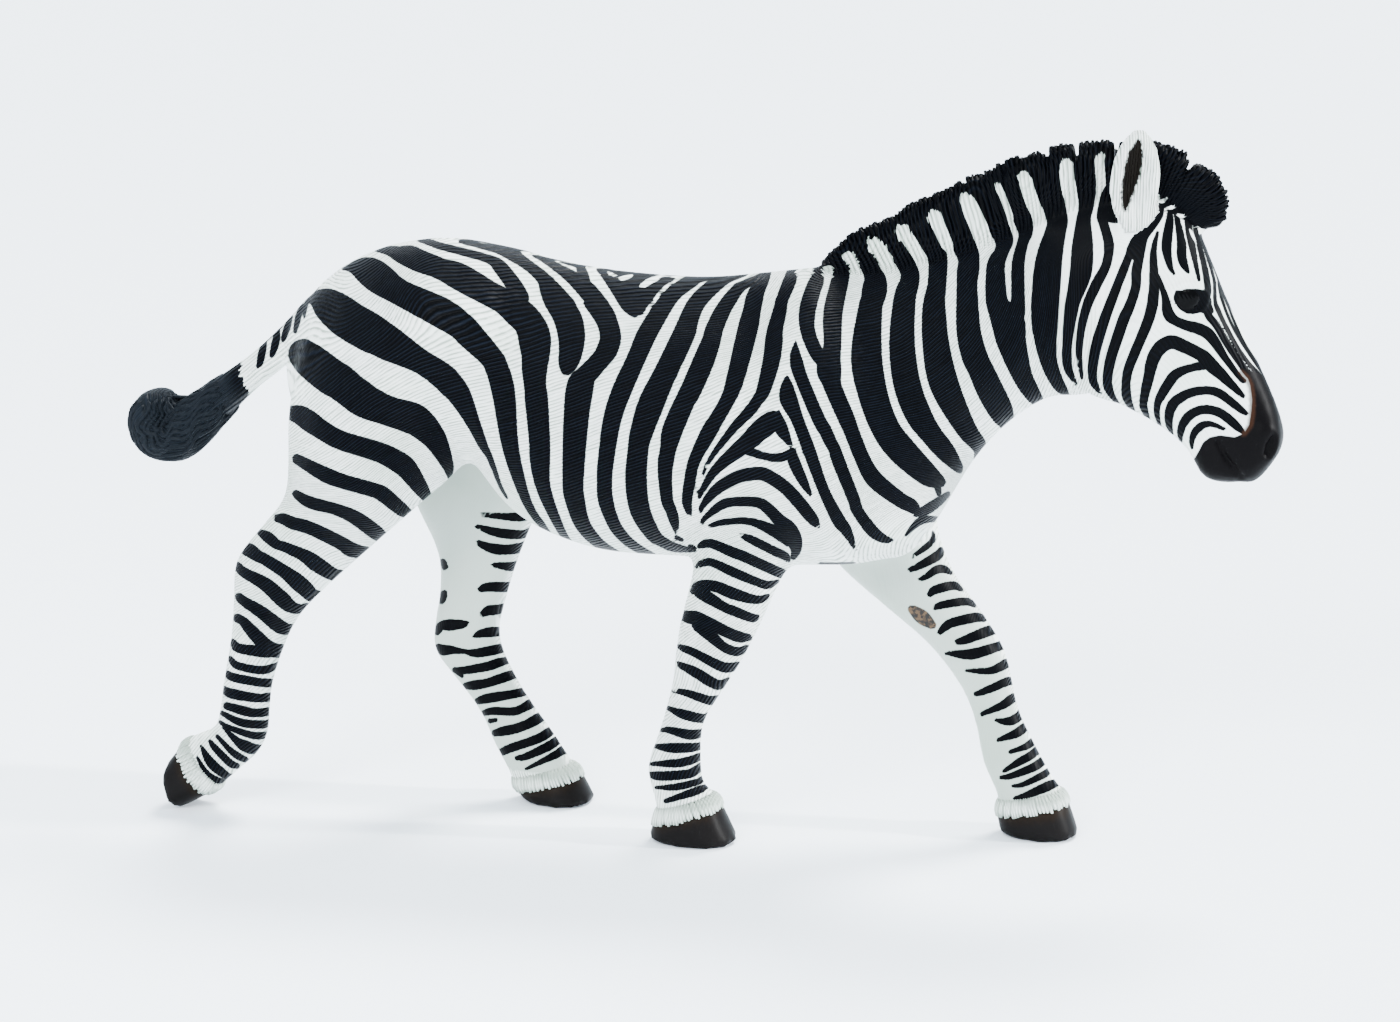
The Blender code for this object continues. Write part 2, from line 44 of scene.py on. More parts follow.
# The photograph's camera. A pixel is one of a 1400 x 1022 frame.
camera = {
    "azimuth": 14.0,
    "elevation": 11.0,
    "lens": 85.0,
    "sensor": 36.0,
    "distance": 0.85,
    "aim": (0.01031, -0.0227, 0.0908),
    "frame": (1400, 1022),
}


def cameraAxes():
    around = math.radians(camera["azimuth"])
    above = math.radians(camera["elevation"])
    level = math.cos(above)
    back = np.array([math.sin(around) * level, -math.cos(around) * level, math.sin(above)])
    right = np.array([math.cos(around), math.sin(around), 0.0])
    return back, right, np.cross(back, right)


backAxis, rightAxis, upAxis = cameraAxes()
eyePoint = np.array(camera["aim"]) + backAxis * camera["distance"]
pixelsPerUnit = camera["lens"] / camera["sensor"] * camera["frame"][0]


# Where points in metres fall in the photograph's frame
def toPixels(points):
    seen = points - eyePoint
    depth = -(seen @ backAxis)
    across = camera["frame"][0] / 2 + pixelsPerUnit * (seen @ rightAxis) / depth
    down = camera["frame"][1] / 2 - pixelsPerUnit * (seen @ upAxis) / depth
    return np.stack([across, down], -1)


# Painted stripes, each one brush stroke: pixel x, pixel y and the stroke's full width there
trunkStrokes = [
    [(376, 250, 3), (390, 251, 10), (400, 254.5, 16), (410, 256.5, 22), (420, 261, 22.5),
     (440, 268.5, 21.5), (460, 277, 27), (490, 294, 25), (505, 302, 26), (518, 312, 30), (528, 322, 30),
     (533, 332, 32), (535, 342, 32), (535.5, 355, 28), (534.5, 370, 25), (535, 385, 22),
     (536.5, 400, 23), (539.5, 440, 21), (540, 460, 20), (544, 490, 14), (562, 532, 7.5), (576, 548, 2)],
    [(418, 240.5, 2), (430, 242.5, 6.5), (440, 246, 7), (475, 255, 8), (491, 260, 9), (500, 267, 14),
     (515, 287, 16), (519, 298, 20)],
    [(460, 241, 4), (496, 250, 6), (510, 256, 8), (521, 260.5, 11), (534, 270, 11), (545, 280, 15),
     (552, 290, 24), (558, 300, 28), (564, 311, 27), (569, 322, 28), (571.5, 335, 27), (571, 350, 24),
     (568.5, 362, 20), (566.5, 370, 11), (566, 374, 4)],
    [(470, 239.5, 2), (490, 243.5, 3), (505, 248, 4), (516, 253, 7), (522, 260, 9)],
    [(534, 254, 5), (560, 269.5, 10), (583, 288, 20), (602, 312, 21.5), (608, 325, 20.5),
     (610.5, 338, 21), (607, 350, 21), (601, 359, 19), (585, 377, 21), (580, 387, 27), (576, 420, 25),
     (573, 480, 21), (575, 500, 19.5), (583, 525, 15), (600, 544, 10), (622, 555, 3)],
    [(560, 261, 3), (578, 265, 6), (582, 272, 10), (585, 280, 10)],
    [(600, 268, 8), (612, 280, 14), (622, 292, 18), (631, 304, 20), (636, 316, 4)],
    [(672, 279, 4), (660, 284, 8), (641, 300, 18), (637, 308, 16)],
    [(600, 267, 6), (640, 278, 16), (655, 281, 10), (672, 279, 4)],
    [(622, 285, 20), (640, 288, 20)],
    [(718, 276, 6), (700, 278, 8), (692, 281, 13), (679, 289, 15), (668, 300, 16.5), (648, 332, 19.5),
     (636, 359, 18.5), (622, 390, 19.5), (612, 420, 18), (606, 460, 16), (604.5, 480, 15),
     (605.5, 500, 15), (613, 522, 12.5), (620, 533, 11.5), (630, 543, 9.5), (642, 550.5, 7.5),
     (656, 556, 3)],
    [(745, 273, 6), (730, 277, 10), (720, 281, 14), (698, 301, 17), (688, 322, 19.5), (684, 334, 22),
     (664, 376, 23), (651, 404, 26), (641, 434, 22.5), (638, 450, 20.5), (636, 480, 21.5),
     (640, 510, 20), (652, 533, 15), (661, 541, 11), (675, 547.5, 9), (698, 551, 2)],
    [(764, 276, 8), (744, 285, 9), (737, 290, 12), (723, 310, 15.5), (714, 330, 17.5),
     (711.5, 340, 18.5), (704, 360, 21), (691, 390, 21), (685.5, 400, 20), (672.5, 430, 20.5),
     (668, 450, 16), (666, 460, 16), (665, 475, 14), (667, 500, 12), (671, 510, 11), (674, 520, 10),
     (677, 534, 3)],
    [(768, 273, 6), (763, 280, 12), (757.5, 290, 15), (754, 300, 17.5), (752, 310, 17.5),
     (747.5, 330, 20), (735, 380, 17.5), (727.5, 400, 14.5), (716, 420, 14.5), (710, 430, 16),
     (694.5, 460, 12), (690, 480, 11.5), (687, 500, 10), (688.5, 510, 7), (690, 516, 3)],
    [(792, 270, 8), (790, 280, 13), (782, 300, 12), (780, 310, 13.5), (775, 330, 15.5), (774, 340, 17.5),
     (771.5, 360, 17), (763.5, 390, 14), (757.5, 400, 11.5), (750.5, 410, 11.5), (732, 430, 8.5),
     (709.5, 460, 4.5), (702, 477, 2)],
    [(818, 268, 8), (817, 280, 14), (813, 290, 15.5), (807.5, 310, 16.5), (807.5, 330, 14.5),
     (815, 350, 14), (822, 360, 14)],
    [(840, 262, 16), (841, 275, 17), (833, 312, 19), (832.5, 345, 17.5), (830, 358, 21),
     (829, 370, 24.5), (831, 380, 19.5), (834, 390, 17.5), (847, 420, 16.5), (851, 430, 15),
     (863, 460, 15), (875, 480, 17), (899, 499, 15), (910, 505, 14), (914, 508, 12)],
    [(676, 537, 4), (682, 540, 4)],
    [(690, 546, 4), (695, 548, 4)],
    [(818, 563, 1.5), (835, 564, 2.5), (855, 563, 1.5)],
]
haunchStrokes = [
    [(342, 269, 2), (351, 268, 8), (360, 268.5, 19), (370, 272, 29), (380, 279, 31), (400, 292.5, 26),
     (440, 312, 30.5), (460, 325, 28), (470, 335, 27.5), (490, 356, 23), (496, 366, 23),
     (503.5, 392, 23), (511, 450, 16), (527, 502, 9), (543, 526, 6), (551, 535, 2)],
    [(309, 302, 3), (316, 300, 13), (323, 301, 24), (330, 306, 33), (340, 313.5, 38), (350, 321, 39),
     (370, 332.5, 39), (380, 338, 36), (390, 344, 34.5), (420, 361, 24.5), (440, 374, 26),
     (450, 383.5, 26), (460, 396, 22.5), (472, 420, 14.5), (483, 445, 9), (490, 458, 6), (500, 485, 3.5),
     (507, 498, 2)],
    [(303, 354, 30), (312, 362, 35), (330, 376, 36.5), (340, 382, 36), (350, 390, 34.5),
     (360, 397.5, 35), (370, 403.5, 33), (390, 411.5, 29.5), (410, 417.5, 31.5), (420, 423, 30),
     (435, 439, 23), (446, 461, 13.5), (449, 470, 9), (449, 477, 3)],
    [(291, 413, 14), (300, 415, 19), (310, 421.5, 21), (320, 428.5, 19.5), (340, 440, 19),
     (380, 452.5, 20), (400, 463, 21.5), (408, 470, 20.5), (420, 487, 15.5), (426, 496, 11)],
    [(297, 459, 10), (325, 474.5, 15), (345, 482, 14.5), (375, 490.5, 14.5), (384, 495, 15.5),
     (401, 509, 13.5), (408, 513, 9)],
    [(296, 494, 8), (305, 500, 11), (315, 504, 12), (335, 509, 11.5), (355, 517.5, 14), (374, 531, 15),
     (381, 536, 12)],
]
nearHindStrokes = [
    [(277, 518, 8), (284, 519, 11.5), (292, 523, 12.5), (310, 528, 13), (340, 542.5, 13.5),
     (349, 548.5, 15), (358, 551.5, 13), (366, 551, 9)],
    [(260, 532, 6), (268, 537, 11), (276, 544, 9.5), (285, 547, 9.5), (305, 556, 13), (315, 563, 15.5),
     (333, 574, 12.5), (342, 574, 7)],
    [(241, 549, 6), (249, 550, 13), (257, 555.5, 11.5), (266, 560, 11), (285, 572, 12.5),
     (295, 580, 15.5), (305, 588.5, 15.5), (313, 596, 12), (319, 594, 6)],
    [(237, 566, 8), (245, 573, 9.5), (265, 584, 13), (282, 599, 15), (290, 606, 12.5), (299, 609, 8.5),
     (308, 605, 4)],
    [(239, 597, 8), (245, 602, 9.5), (261, 612, 12), (279, 626, 13.5), (288, 629, 10), (295, 627, 5)],
    [(237, 618, 8), (243, 621, 8.5), (249, 628, 11), (265, 645, 14), (273, 650, 14), (281, 650.5, 12),
     (286, 648, 6)],
    [(233, 642, 6), (238, 648, 8.5), (258, 651, 11), (268, 651, 13)],
    [(230, 658, 4), (237, 665.5, 7), (258, 670, 7.5), (268, 669, 7.5), (279, 664, 4)],
    [(227, 674, 6), (234, 677.5, 8), (257, 682, 8), (269, 683, 8), (275, 682, 5)],
    [(223, 689, 6), (233, 694, 9.5), (258, 698, 8), (269, 697, 8), (274, 697, 4)],
    [(227, 706, 7), (244, 711, 9), (256, 713, 8), (268, 711.5, 7.5), (272, 711, 4)],
    [(222, 713, 4), (241, 722.5, 7.5), (262, 724.5, 7.5), (270, 722, 5)],
    [(220, 722, 2.5), (228, 727, 4.5), (251, 735, 6.5), (262, 735.5, 6.5), (268, 734, 4)],
    [(223, 727, 2), (237, 741, 7), (245, 746, 11), (254, 749, 9.5), (261, 748, 6)],
    [(217, 736, 3), (230, 750, 5.5), (238, 756, 6.5), (246, 760, 5)],
    [(210, 741, 3), (215, 748, 6), (230, 763, 7), (237, 766, 5)],
    [(201, 746, 2), (211, 763, 9), (227, 776, 7), (231, 776, 4)],
    [(197, 757, 2), (208, 775, 6), (224, 784, 8), (229, 783, 5)],
]
shoulderStrokes = [
    [(795, 341, 2), (796, 360, 12.5), (802, 380, 13), (819, 420, 13), (825, 430, 13), (829.5, 440, 12.5),
     (835, 450, 12), (838, 460, 13), (854, 500, 12), (857, 510, 11.5), (871.5, 530, 12), (882, 538, 9),
     (891, 540.5, 5)],
    [(787, 377, 3), (787, 385, 11), (787.5, 395, 17), (790, 403, 17), (797.5, 420, 12.5),
     (809, 450, 12.5), (823.5, 490, 11), (838.5, 520, 13), (846, 530, 11), (856, 550, 3)],
    [(776, 413, 5), (770, 422, 20), (758, 432, 20), (749, 441, 18), (717, 468, 10), (703, 489, 6),
     (699, 498, 3)],
    [(778, 411, 3), (779, 422, 12), (782, 430, 13), (791, 446, 4)],
    [(745, 449, 10), (757, 454, 8), (770, 457.5, 8), (783, 457, 9), (792, 452, 8)],
    [(792, 451, 8), (794, 462, 12), (804, 483, 9), (812, 497, 2)],
    [(700, 513, 3), (703, 505, 6), (717, 489, 11), (738, 477, 12.5), (758, 473.5, 13), (768, 476, 13),
     (788, 490, 13), (811, 517, 12), (818, 526, 5)],
    [(701, 526, 3), (704, 519, 5), (720, 506, 9), (732, 502, 9), (755, 502, 10), (765, 506, 11),
     (780, 521, 13), (788, 530, 18), (794, 540, 16), (796, 550, 10), (793, 558, 5)],
    [(710, 526, 4), (722, 522.5, 6), (748, 521, 7), (770, 529, 11), (790, 540, 14)],
]
nearForeStrokes = [
    [(741, 535, 4), (750, 539, 8), (774, 551, 9), (785, 556, 8), (788, 560, 5)],
    [(699, 547, 4), (704, 544, 8), (713, 544, 9), (732, 552, 10.5), (745, 557, 10.5), (778, 572, 10),
     (783, 573, 8)],
    [(697, 566, 5), (703, 563, 7), (712, 562.5, 8), (733, 572, 9.5), (757, 582, 8.5), (768, 585, 8),
     (778, 581, 3)],
    [(693, 591, 6), (699, 587, 12), (714, 586, 11), (732, 593, 11.5), (750, 598.5, 9.5),
     (760, 599.5, 7.5), (768, 596, 4)],
    [(699, 592, 11), (706, 596, 12), (724, 607, 9), (734, 611, 9.5), (752, 618, 8), (757, 617, 5)],
    [(684, 616, 10), (692, 617.5, 13), (700, 619, 12), (730, 633.5, 10.5), (740, 637, 10.5),
     (749, 637.5, 6)],
    [(698, 625, 12), (706, 631, 13), (721, 645, 9), (730, 650, 9), (739, 651.5, 8), (747, 647, 4)],
    [(677, 645, 3), (684, 648.5, 6.5), (693, 652, 7.5), (720, 666, 9.5), (730, 667.5, 9), (738, 665, 6)],
    [(678, 664, 5), (694, 671.5, 9.5), (712, 682.5, 10), (720, 685, 8.5), (728, 680, 5)],
    [(673, 691, 3), (680, 691.5, 5), (690, 694, 7), (710, 700.5, 8.5), (717, 698, 5)],
    [(668, 708, 3.5), (684, 714.5, 9), (703, 718.5, 8.5), (709, 715, 5)],
    [(661, 730, 3), (669, 730, 6), (688, 734.5, 9.5), (697, 734, 8.5), (704, 731, 5)],
    [(654, 746, 3), (671, 748, 9), (691, 747.5, 8.5), (700, 746, 6.5)],
    [(648, 764, 2), (668, 763.5, 7), (679, 763, 8), (690, 760.5, 8), (700, 756.5, 7)],
    [(647, 774, 3), (655, 775.5, 7.5), (665, 776, 9), (688, 774, 8.5), (697, 769.5, 8), (701, 765, 5)],
    [(656, 787.5, 2.5), (676, 787, 6.5), (697, 782, 6), (702, 779, 5)],
    [(666, 801, 4), (692, 792.5, 7.5), (701, 789, 7), (706, 787, 4)],
    [(661, 814, 3), (679, 810, 5.5), (700, 803.5, 6.5), (709, 799.5, 7.5), (716, 797, 5)],
]
neckStrokes = [
    [(864, 255, 16), (872, 272, 18), (875.5, 280, 21), (874.5, 290, 25), (872.5, 300, 23),
     (870, 310, 24), (866.5, 358, 31), (874.5, 400, 29), (886.5, 430, 28), (901.5, 450, 28.5),
     (922, 470, 24), (932, 478, 19), (941, 482, 10)],
    [(937, 484, 8), (939, 494, 5)],
    [(896, 248, 18), (908, 268, 18), (910, 280, 19), (904.5, 300, 22), (902, 345, 25.5), (907, 384, 27),
     (918, 414, 26), (931, 434, 21.5), (945, 451, 19.5), (957, 466, 11), (960, 471, 5)],
    [(930, 240, 18), (935, 250, 20), (938, 260, 19), (937, 284, 18.5), (934.5, 300, 21), (934, 315, 24),
     (936, 345, 26.5), (944, 384, 29), (965, 427, 20.5), (978, 444, 15.5), (980, 452, 11), (977, 458, 6)],
    [(950, 222, 22), (957, 232, 23), (967, 252, 22.5), (969, 262, 21), (968, 272, 22), (967, 285, 20.5),
     (968.5, 330, 24), (974.5, 356, 25.5), (980, 368, 25), (990.5, 391, 26.5), (1001, 411, 24),
     (1005, 422, 14), (1006, 430, 6)],
    [(986, 205, 19), (994, 215, 20), (999, 228, 20), (1004, 240, 18), (1002.5, 250, 13.5),
     (997.5, 260, 16.5), (995.5, 270, 18.5), (996, 295, 21), (999, 308, 23), (1008, 322, 33),
     (1011.5, 342, 29), (1022, 375, 20), (1034, 396, 15), (1040, 402, 6)],
    [(1013, 198, 18), (1023, 220, 18), (1025.5, 232, 14), (1023, 242, 10.5), (1018, 264, 12.5),
     (1018, 304, 14), (1015, 315, 20)],
    [(1050, 193, 23), (1057, 218, 21), (1056, 230, 20), (1050, 254, 25), (1047, 278, 27.5),
     (1044.5, 320, 26.5), (1048, 358, 17.5), (1056, 380, 13.5), (1062, 389, 10), (1067, 394, 4)],
    [(1087, 190, 18), (1086, 208, 14), (1083.5, 220, 14), (1082.5, 248, 21), (1080.5, 274, 21),
     (1073.5, 299, 14.5), (1071, 312, 13), (1067.5, 340, 9.5), (1067.5, 366, 9), (1076, 384, 3)],
    [(1104, 196, 6), (1102, 215, 10), (1104, 225, 9), (1109, 245, 9.5), (1106, 265, 9), (1096, 285, 10),
     (1087, 306, 9), (1081, 330, 7.5), (1079, 355, 6), (1082, 378, 3)],
    [(1106, 219, 4), (1112, 219, 5), (1116, 220, 3)],
    [(905, 536, 2), (912, 528, 5), (922, 520, 8), (936, 519, 5)],
    [(916, 514, 6), (926, 510, 10), (938, 502, 9), (948, 494, 5)],
]
headStrokes = [
    [(1163, 200, 5), (1160, 208, 8), (1157, 217, 9.5), (1143, 234, 12), (1136, 241, 9.5), (1131, 249, 8),
     (1128.5, 257, 7.5), (1105, 318, 10), (1094.5, 353, 10), (1092.5, 377, 8.5), (1096, 387, 6),
     (1101, 394, 2)],
    [(1147, 232, 8), (1143, 240, 8), (1137, 268, 9.5), (1135.5, 288, 9), (1128.5, 309, 10),
     (1123.5, 320, 11), (1111.5, 356, 10.5), (1107.5, 378, 9), (1108.5, 388, 8.5), (1113, 397, 5),
     (1118, 403, 2)],
    [(1158, 231, 2), (1153.5, 252, 6), (1154, 290, 10), (1149, 318, 10.5), (1132.5, 358, 9.5),
     (1128, 371, 9), (1126, 384, 8.5), (1126.5, 395, 9), (1129, 403, 6.5), (1134, 412, 2)],
    [(1157, 275, 4), (1164.5, 295, 6), (1168.5, 314, 11), (1176, 321, 9), (1187, 325.5, 10),
     (1198, 328.5, 11), (1207, 333, 11), (1214, 341, 10), (1226, 359, 6.5), (1240, 378, 5),
     (1244, 381, 4)],
    [(1149, 420, 2), (1145, 411, 6), (1143.5, 401, 8), (1149, 376, 10.5), (1151.5, 364, 12),
     (1155.5, 354, 13), (1162, 346, 13.5), (1172, 342, 13), (1182, 345.5, 12.5), (1201, 355, 12),
     (1208, 362, 14), (1234, 387, 7.5), (1243, 396, 4)],
    [(1160, 426, 2), (1157, 414, 5), (1157.5, 404, 6.5), (1162, 394, 9), (1173, 377, 10),
     (1182, 371, 8.5), (1193, 367.5, 7.5), (1204, 365, 9)],
    [(1172, 434, 2), (1169, 424, 6.5), (1169.5, 413, 9), (1173, 404, 10), (1180, 398, 9.5),
     (1190, 393, 8.5), (1202, 390.5, 8), (1213, 391, 8), (1223, 395.5, 8.5), (1240, 409, 6.5),
     (1247, 414, 3)],
    [(1181, 441, 2), (1180.5, 433, 6), (1183, 424, 8), (1188, 417, 9), (1196, 411.5, 8.5),
     (1206, 409.5, 8.5), (1217, 411.5, 8.5), (1227, 417.5, 8.5), (1236, 425.5, 8), (1243, 432, 4)],
    [(1192, 448, 2), (1192, 440, 5), (1195, 432, 7), (1202, 425.5, 7), (1211, 424, 5), (1224, 429, 3)],
    [(1165, 203, 4), (1169, 209, 3.5), (1170, 217, 6), (1169, 226, 8.5), (1166.5, 247, 9.5),
     (1170, 266, 5), (1174, 274, 2)],
    [(1173, 207, 3), (1176, 214, 4), (1181.5, 243, 8.5), (1181.5, 254, 9), (1183.5, 263, 8),
     (1188, 272, 3)],
    [(1187, 218, 5), (1190.5, 238, 7), (1199, 280, 2.5)],
    [(1195, 228, 4), (1205, 269, 5.5), (1208, 289, 6), (1209, 296, 3)],
    [(1201, 236, 3), (1213.5, 277, 2.5), (1215, 299, 3), (1218, 310, 4), (1233, 340, 3.5),
     (1246, 360, 3.5), (1260, 376, 4)],
    [(1206, 250, 1.5), (1213, 264, 2), (1218.5, 280, 2), (1221, 296, 2.5), (1232, 325, 2.5),
     (1248, 352, 2), (1263, 373, 3)],
    [(1219, 276, 1.5), (1224, 295, 2), (1241, 337, 2), (1262, 371, 2)],
    [(1206, 310, 7), (1210, 318, 7), (1216, 325, 6.5), (1231, 350, 6.5), (1249, 375, 6)],
    [(1181, 298, 14), (1190, 301.5, 24), (1200, 301, 21), (1206, 305, 11), (1211, 311, 5)],
    [(1178, 295, 7), (1190, 294, 8), (1203, 295, 9)],
    [(1106, 190, 6), (1107, 204, 15), (1110, 215, 13), (1117, 221, 4)],
    [(1132, 248, 7), (1134.5, 257, 6)],
    [(1177.5, 293.5, 6), (1177.5, 298, 6.5), (1178.5, 302, 6)],
    [(1184, 306.5, 7), (1192, 308.5, 7), (1201, 309, 7)],
]
farHindStrokes = [
    [(480, 514.5, 4), (505, 516.5, 7), (518, 517, 8.5), (526, 518, 5)],
    [(476, 526, 4), (497, 532.5, 9), (521, 534.5, 8.5), (531, 530, 5)],
    [(477, 542, 4.5), (485, 546, 8), (496, 549, 10), (508, 549.5, 9.5), (518, 548, 9.5), (525, 545, 7)],
    [(493, 565, 4), (511, 566.5, 8.5), (519, 564, 6)],
    [(480, 589.5, 5), (488, 587, 8.5), (508, 587, 9), (513, 585, 6)],
    [(483, 614, 6), (488, 610.5, 9), (495, 610, 9.5), (503, 608, 8)],
    [(474, 636, 3.5), (481, 633.5, 7.5), (491, 632, 9.5), (501, 631.5, 8)],
    [(467, 652.5, 5), (477, 653, 8), (489, 651, 9), (501, 648.5, 8.5), (504, 648, 5)],
    [(455, 670, 5), (463, 670.5, 7), (487, 666.5, 8.5), (499, 662.5, 8.5), (509, 660, 5.5)],
    [(466, 686, 6), (475, 685, 9), (487, 683, 8.5), (510, 675.5, 9), (516, 674, 6)],
    [(478, 701, 6), (487, 698.5, 9), (511, 694.5, 8), (521, 692.5, 8), (526, 692, 5)],
    [(484, 713, 5), (493, 711, 7), (513, 711.5, 7.5), (523, 708, 8), (531, 703.5, 9), (534, 703, 5)],
    [(495, 733, 6), (504, 731, 9), (516, 728.5, 9), (528, 724, 9), (538, 718.5, 10), (543, 716, 7)],
    [(502, 752, 7), (511, 748, 8), (536, 739.5, 8.5), (547, 733.5, 9), (552, 730, 7)],
    [(517, 758, 4), (526, 756.5, 6.5), (548, 746.5, 8.5), (557, 740.5, 8), (559, 739, 5)],
    [(526, 769, 2), (555, 755, 7), (563, 750, 8), (565, 752, 4)],
]
farHindMarks = [
    [(443, 562, 6), (445, 567, 6)],
    [(444, 594, 7), (442, 601, 6)],
    [(437, 632, 6), (441, 626, 8), (450, 625, 10.5), (460, 624.5, 8.5), (468, 623.5, 4)],
    [(438, 647, 6), (443, 650, 10), (452, 650, 7.5), (464, 651.5, 4)],
    [(458, 672, 5), (462, 676, 3)],
    [(490, 721, 4), (496, 720, 3)],
]
farForeStrokes = [
    [(912, 557, 3), (926, 547, 6), (933, 540, 5), (933, 532, 3)],
    [(907, 571, 3.5), (917, 567, 6.5), (937, 556, 9.5), (941, 550, 6)],
    [(919, 580, 3), (927, 576, 5.5), (936, 570, 8), (944, 569, 7.5), (951, 573, 3)],
    [(929, 595, 4), (935, 590, 8), (953, 585.5, 8), (962, 590, 3)],
    [(934, 608, 4), (942, 605, 7), (963, 601.5, 7.5), (971, 603, 6), (975, 606, 3)],
    [(939, 633, 4), (945, 627, 7.5), (953, 622.5, 8.5), (975, 617.5, 9), (984, 618.5, 6)],
    [(957, 642, 5), (965, 640, 8), (987, 631.5, 10), (994, 630, 8)],
    [(946, 653, 3), (967, 654.5, 9.5), (979, 652.5, 10), (1001, 645.5, 8.5)],
    [(967, 670, 3.5), (988, 671, 6.5), (999, 667.5, 8), (1006, 663.5, 9)],
    [(976, 694, 4), (985, 691, 6.5), (1006, 682, 8), (1011, 681, 7)],
    [(982, 714, 3.5), (1002, 705.5, 7.5), (1012, 698.5, 8.5), (1014, 697, 6)],
    [(996, 720, 2.5), (1004, 721.5, 6), (1012, 720.5, 8.5), (1019, 716, 8), (1020, 711, 3)],
    [(998, 740, 3), (1015, 734, 8), (1023, 728.5, 8.5), (1026, 726, 6)],
    [(1010, 752, 3), (1026, 746.5, 6), (1033, 741.5, 7), (1036, 742, 4)],
    [(1004, 771, 3), (1020, 761.5, 7), (1030, 756, 7.5), (1038, 749.5, 7), (1039, 748, 4)],
    [(1001, 777.5, 3), (1011, 776, 5.5), (1033, 767.5, 8), (1042, 761.5, 8), (1044, 760, 5)],
    [(1013, 786, 2.5), (1023, 784.5, 4.5), (1043, 775, 6.5), (1048, 771, 5)],
    [(1015, 798.5, 3.5), (1025, 796, 6), (1047, 786.5, 9), (1056, 783, 7)],
]
# The outer side of the far legs' upper parts, not in the photograph: side-view x, z and width in millimetres
millimetrePixels = 3.8  # about how many pixels a millimetre takes up
farUpperStrokes = [
    [(-90, 92, 1), (-80, 89.5, 2.4), (-68, 89.5, 3.2), (-56, 93, 3), (-45, 99, 2.2), (-38, 103, 0.8)],
    [(-82, 84, 1), (-72, 82, 2.6), (-60, 82.5, 3.2), (-49, 86.5, 2.6), (-40, 93, 1.6), (-35, 97, 0.6)],
    [(-74, 77, 1), (-65, 75.5, 2.4), (-55, 76.5, 2.8), (-45, 80.5, 2.2), (-37, 86, 0.8)],
    [(40, 93, 0.8), (49, 96.5, 2.4), (60, 97.5, 2.8), (71, 95, 2.4), (81, 89, 0.9)],
    [(42, 86, 0.8), (51, 90, 2.4), (62, 91, 2.8), (73, 88, 2.4), (82, 82, 0.9)],
    [(46, 79.5, 0.8), (54, 83, 2.2), (64, 84, 2.6), (74, 81, 2.2), (82, 76, 0.8)],
    [(50, 73, 0.8), (58, 76.5, 2.2), (67, 77, 2.4), (76, 74, 2), (83, 70, 0.8)],
]
tailStrokes = [
    [(318, 287, 2), (309, 298, 3.5), (305, 308, 4.5), (304, 318, 2)],
    [(302, 304, 4), (298, 318, 6.5), (295, 332, 4)],
    [(291, 316, 4), (287, 328, 7), (283, 340, 5)],
    [(278, 329, 4), (276, 341, 8), (272, 355, 6)],
    [(265, 341, 4), (262, 353, 8), (259, 367, 6)],
    [(282, 327, 1.5), (266, 340, 2.5), (250, 352, 3)],
]
# White gaps painted over black: the light patches on the loins, and those in the mane
loinGaps = [
    [(538, 262, 5), (552, 273, 6.5), (565, 285, 7.5), (574, 295, 7.5), (582, 303, 6)],
    [(608, 273, 4), (614, 275, 4)],
    [(620, 279, 5), (631, 276, 5)],
    [(642, 286, 6), (650, 281, 7), (658, 278, 5)],
]
maneGaps = [
    [(829, 276, 8), (826, 284, 8), (824, 294, 7)],
    [(847, 256, 9), (852, 263, 10), (857, 272, 10.5), (857.5, 280, 13)],
    [(874, 244, 13), (880, 251, 13.5), (886, 260, 14), (891, 270, 14), (892.5, 280, 14)],
    [(902, 231, 13), (908, 239, 13), (914, 248, 12.5), (920, 258, 11), (924.5, 268, 10.5), (926, 280, 12)],
    [(934, 217, 13), (939, 227, 12.5), (944, 238, 12), (949, 249, 11.5), (952.5, 259, 11.5), (953, 270, 11)],
    [(967, 202, 16), (972, 212, 17), (978, 225, 17), (984, 238, 17.5), (987, 248, 16), (985, 260, 11),
     (983, 270, 9)],
    [(998, 186, 7), (1002, 194, 6.5), (1007, 208, 6), (1012, 221, 6), (1016, 233, 6.5), (1012, 247, 6),
     (1009.5, 258, 7), (1008, 272, 6)],
    [(1024, 177, 12), (1028, 190, 13), (1033, 204, 13), (1038.5, 217, 12.5), (1041, 226, 12.5),
     (1036, 238, 12), (1032, 248, 11), (1030.5, 262, 10.5)],
    [(1065.5, 166, 14), (1067, 178, 14.5), (1069.5, 192, 14), (1072, 205, 11), (1071.5, 220, 9),
     (1070, 234, 9), (1068, 246, 9)],
    [(1099.5, 158, 9), (1100, 170, 9), (1101, 185, 9), (1098.5, 200, 8), (1095, 211, 7), (1094.5, 222, 6.5),
     (1096, 232, 10), (1098.5, 243, 11)],
]
scalpStrokes = [
    [(1166, 150, 22), (1172, 168, 26), (1180, 184, 30), (1196, 200, 34), (1208, 212, 34)],
    [(1165, 180, 8), (1165, 196, 9), (1174, 206, 13), (1187, 214, 13), (1196, 221, 10)],
]
earSlit = [
    (1125, 209, 5), (1126.5, 197, 11), (1129, 184, 15), (1133, 169, 17), (1135.5, 155, 15), (1138.5, 143, 7),
]
muzzleEdge = [
    (1236, 366), (1247, 377), (1250, 385), (1252, 400), (1251, 412), (1249, 425), (1244, 433), (1235, 437),
    (1220, 435), (1210, 437), (1203, 442), (1199, 450), (1195, 457), (1191, 463), (1170, 500), (1320, 520),
    (1320, 372), (1262, 374),
]
mouthLine = [(1217, 441, 2), (1221, 449, 2.6), (1226, 458, 3), (1233, 467, 3), (1241, 477, 3.5)]
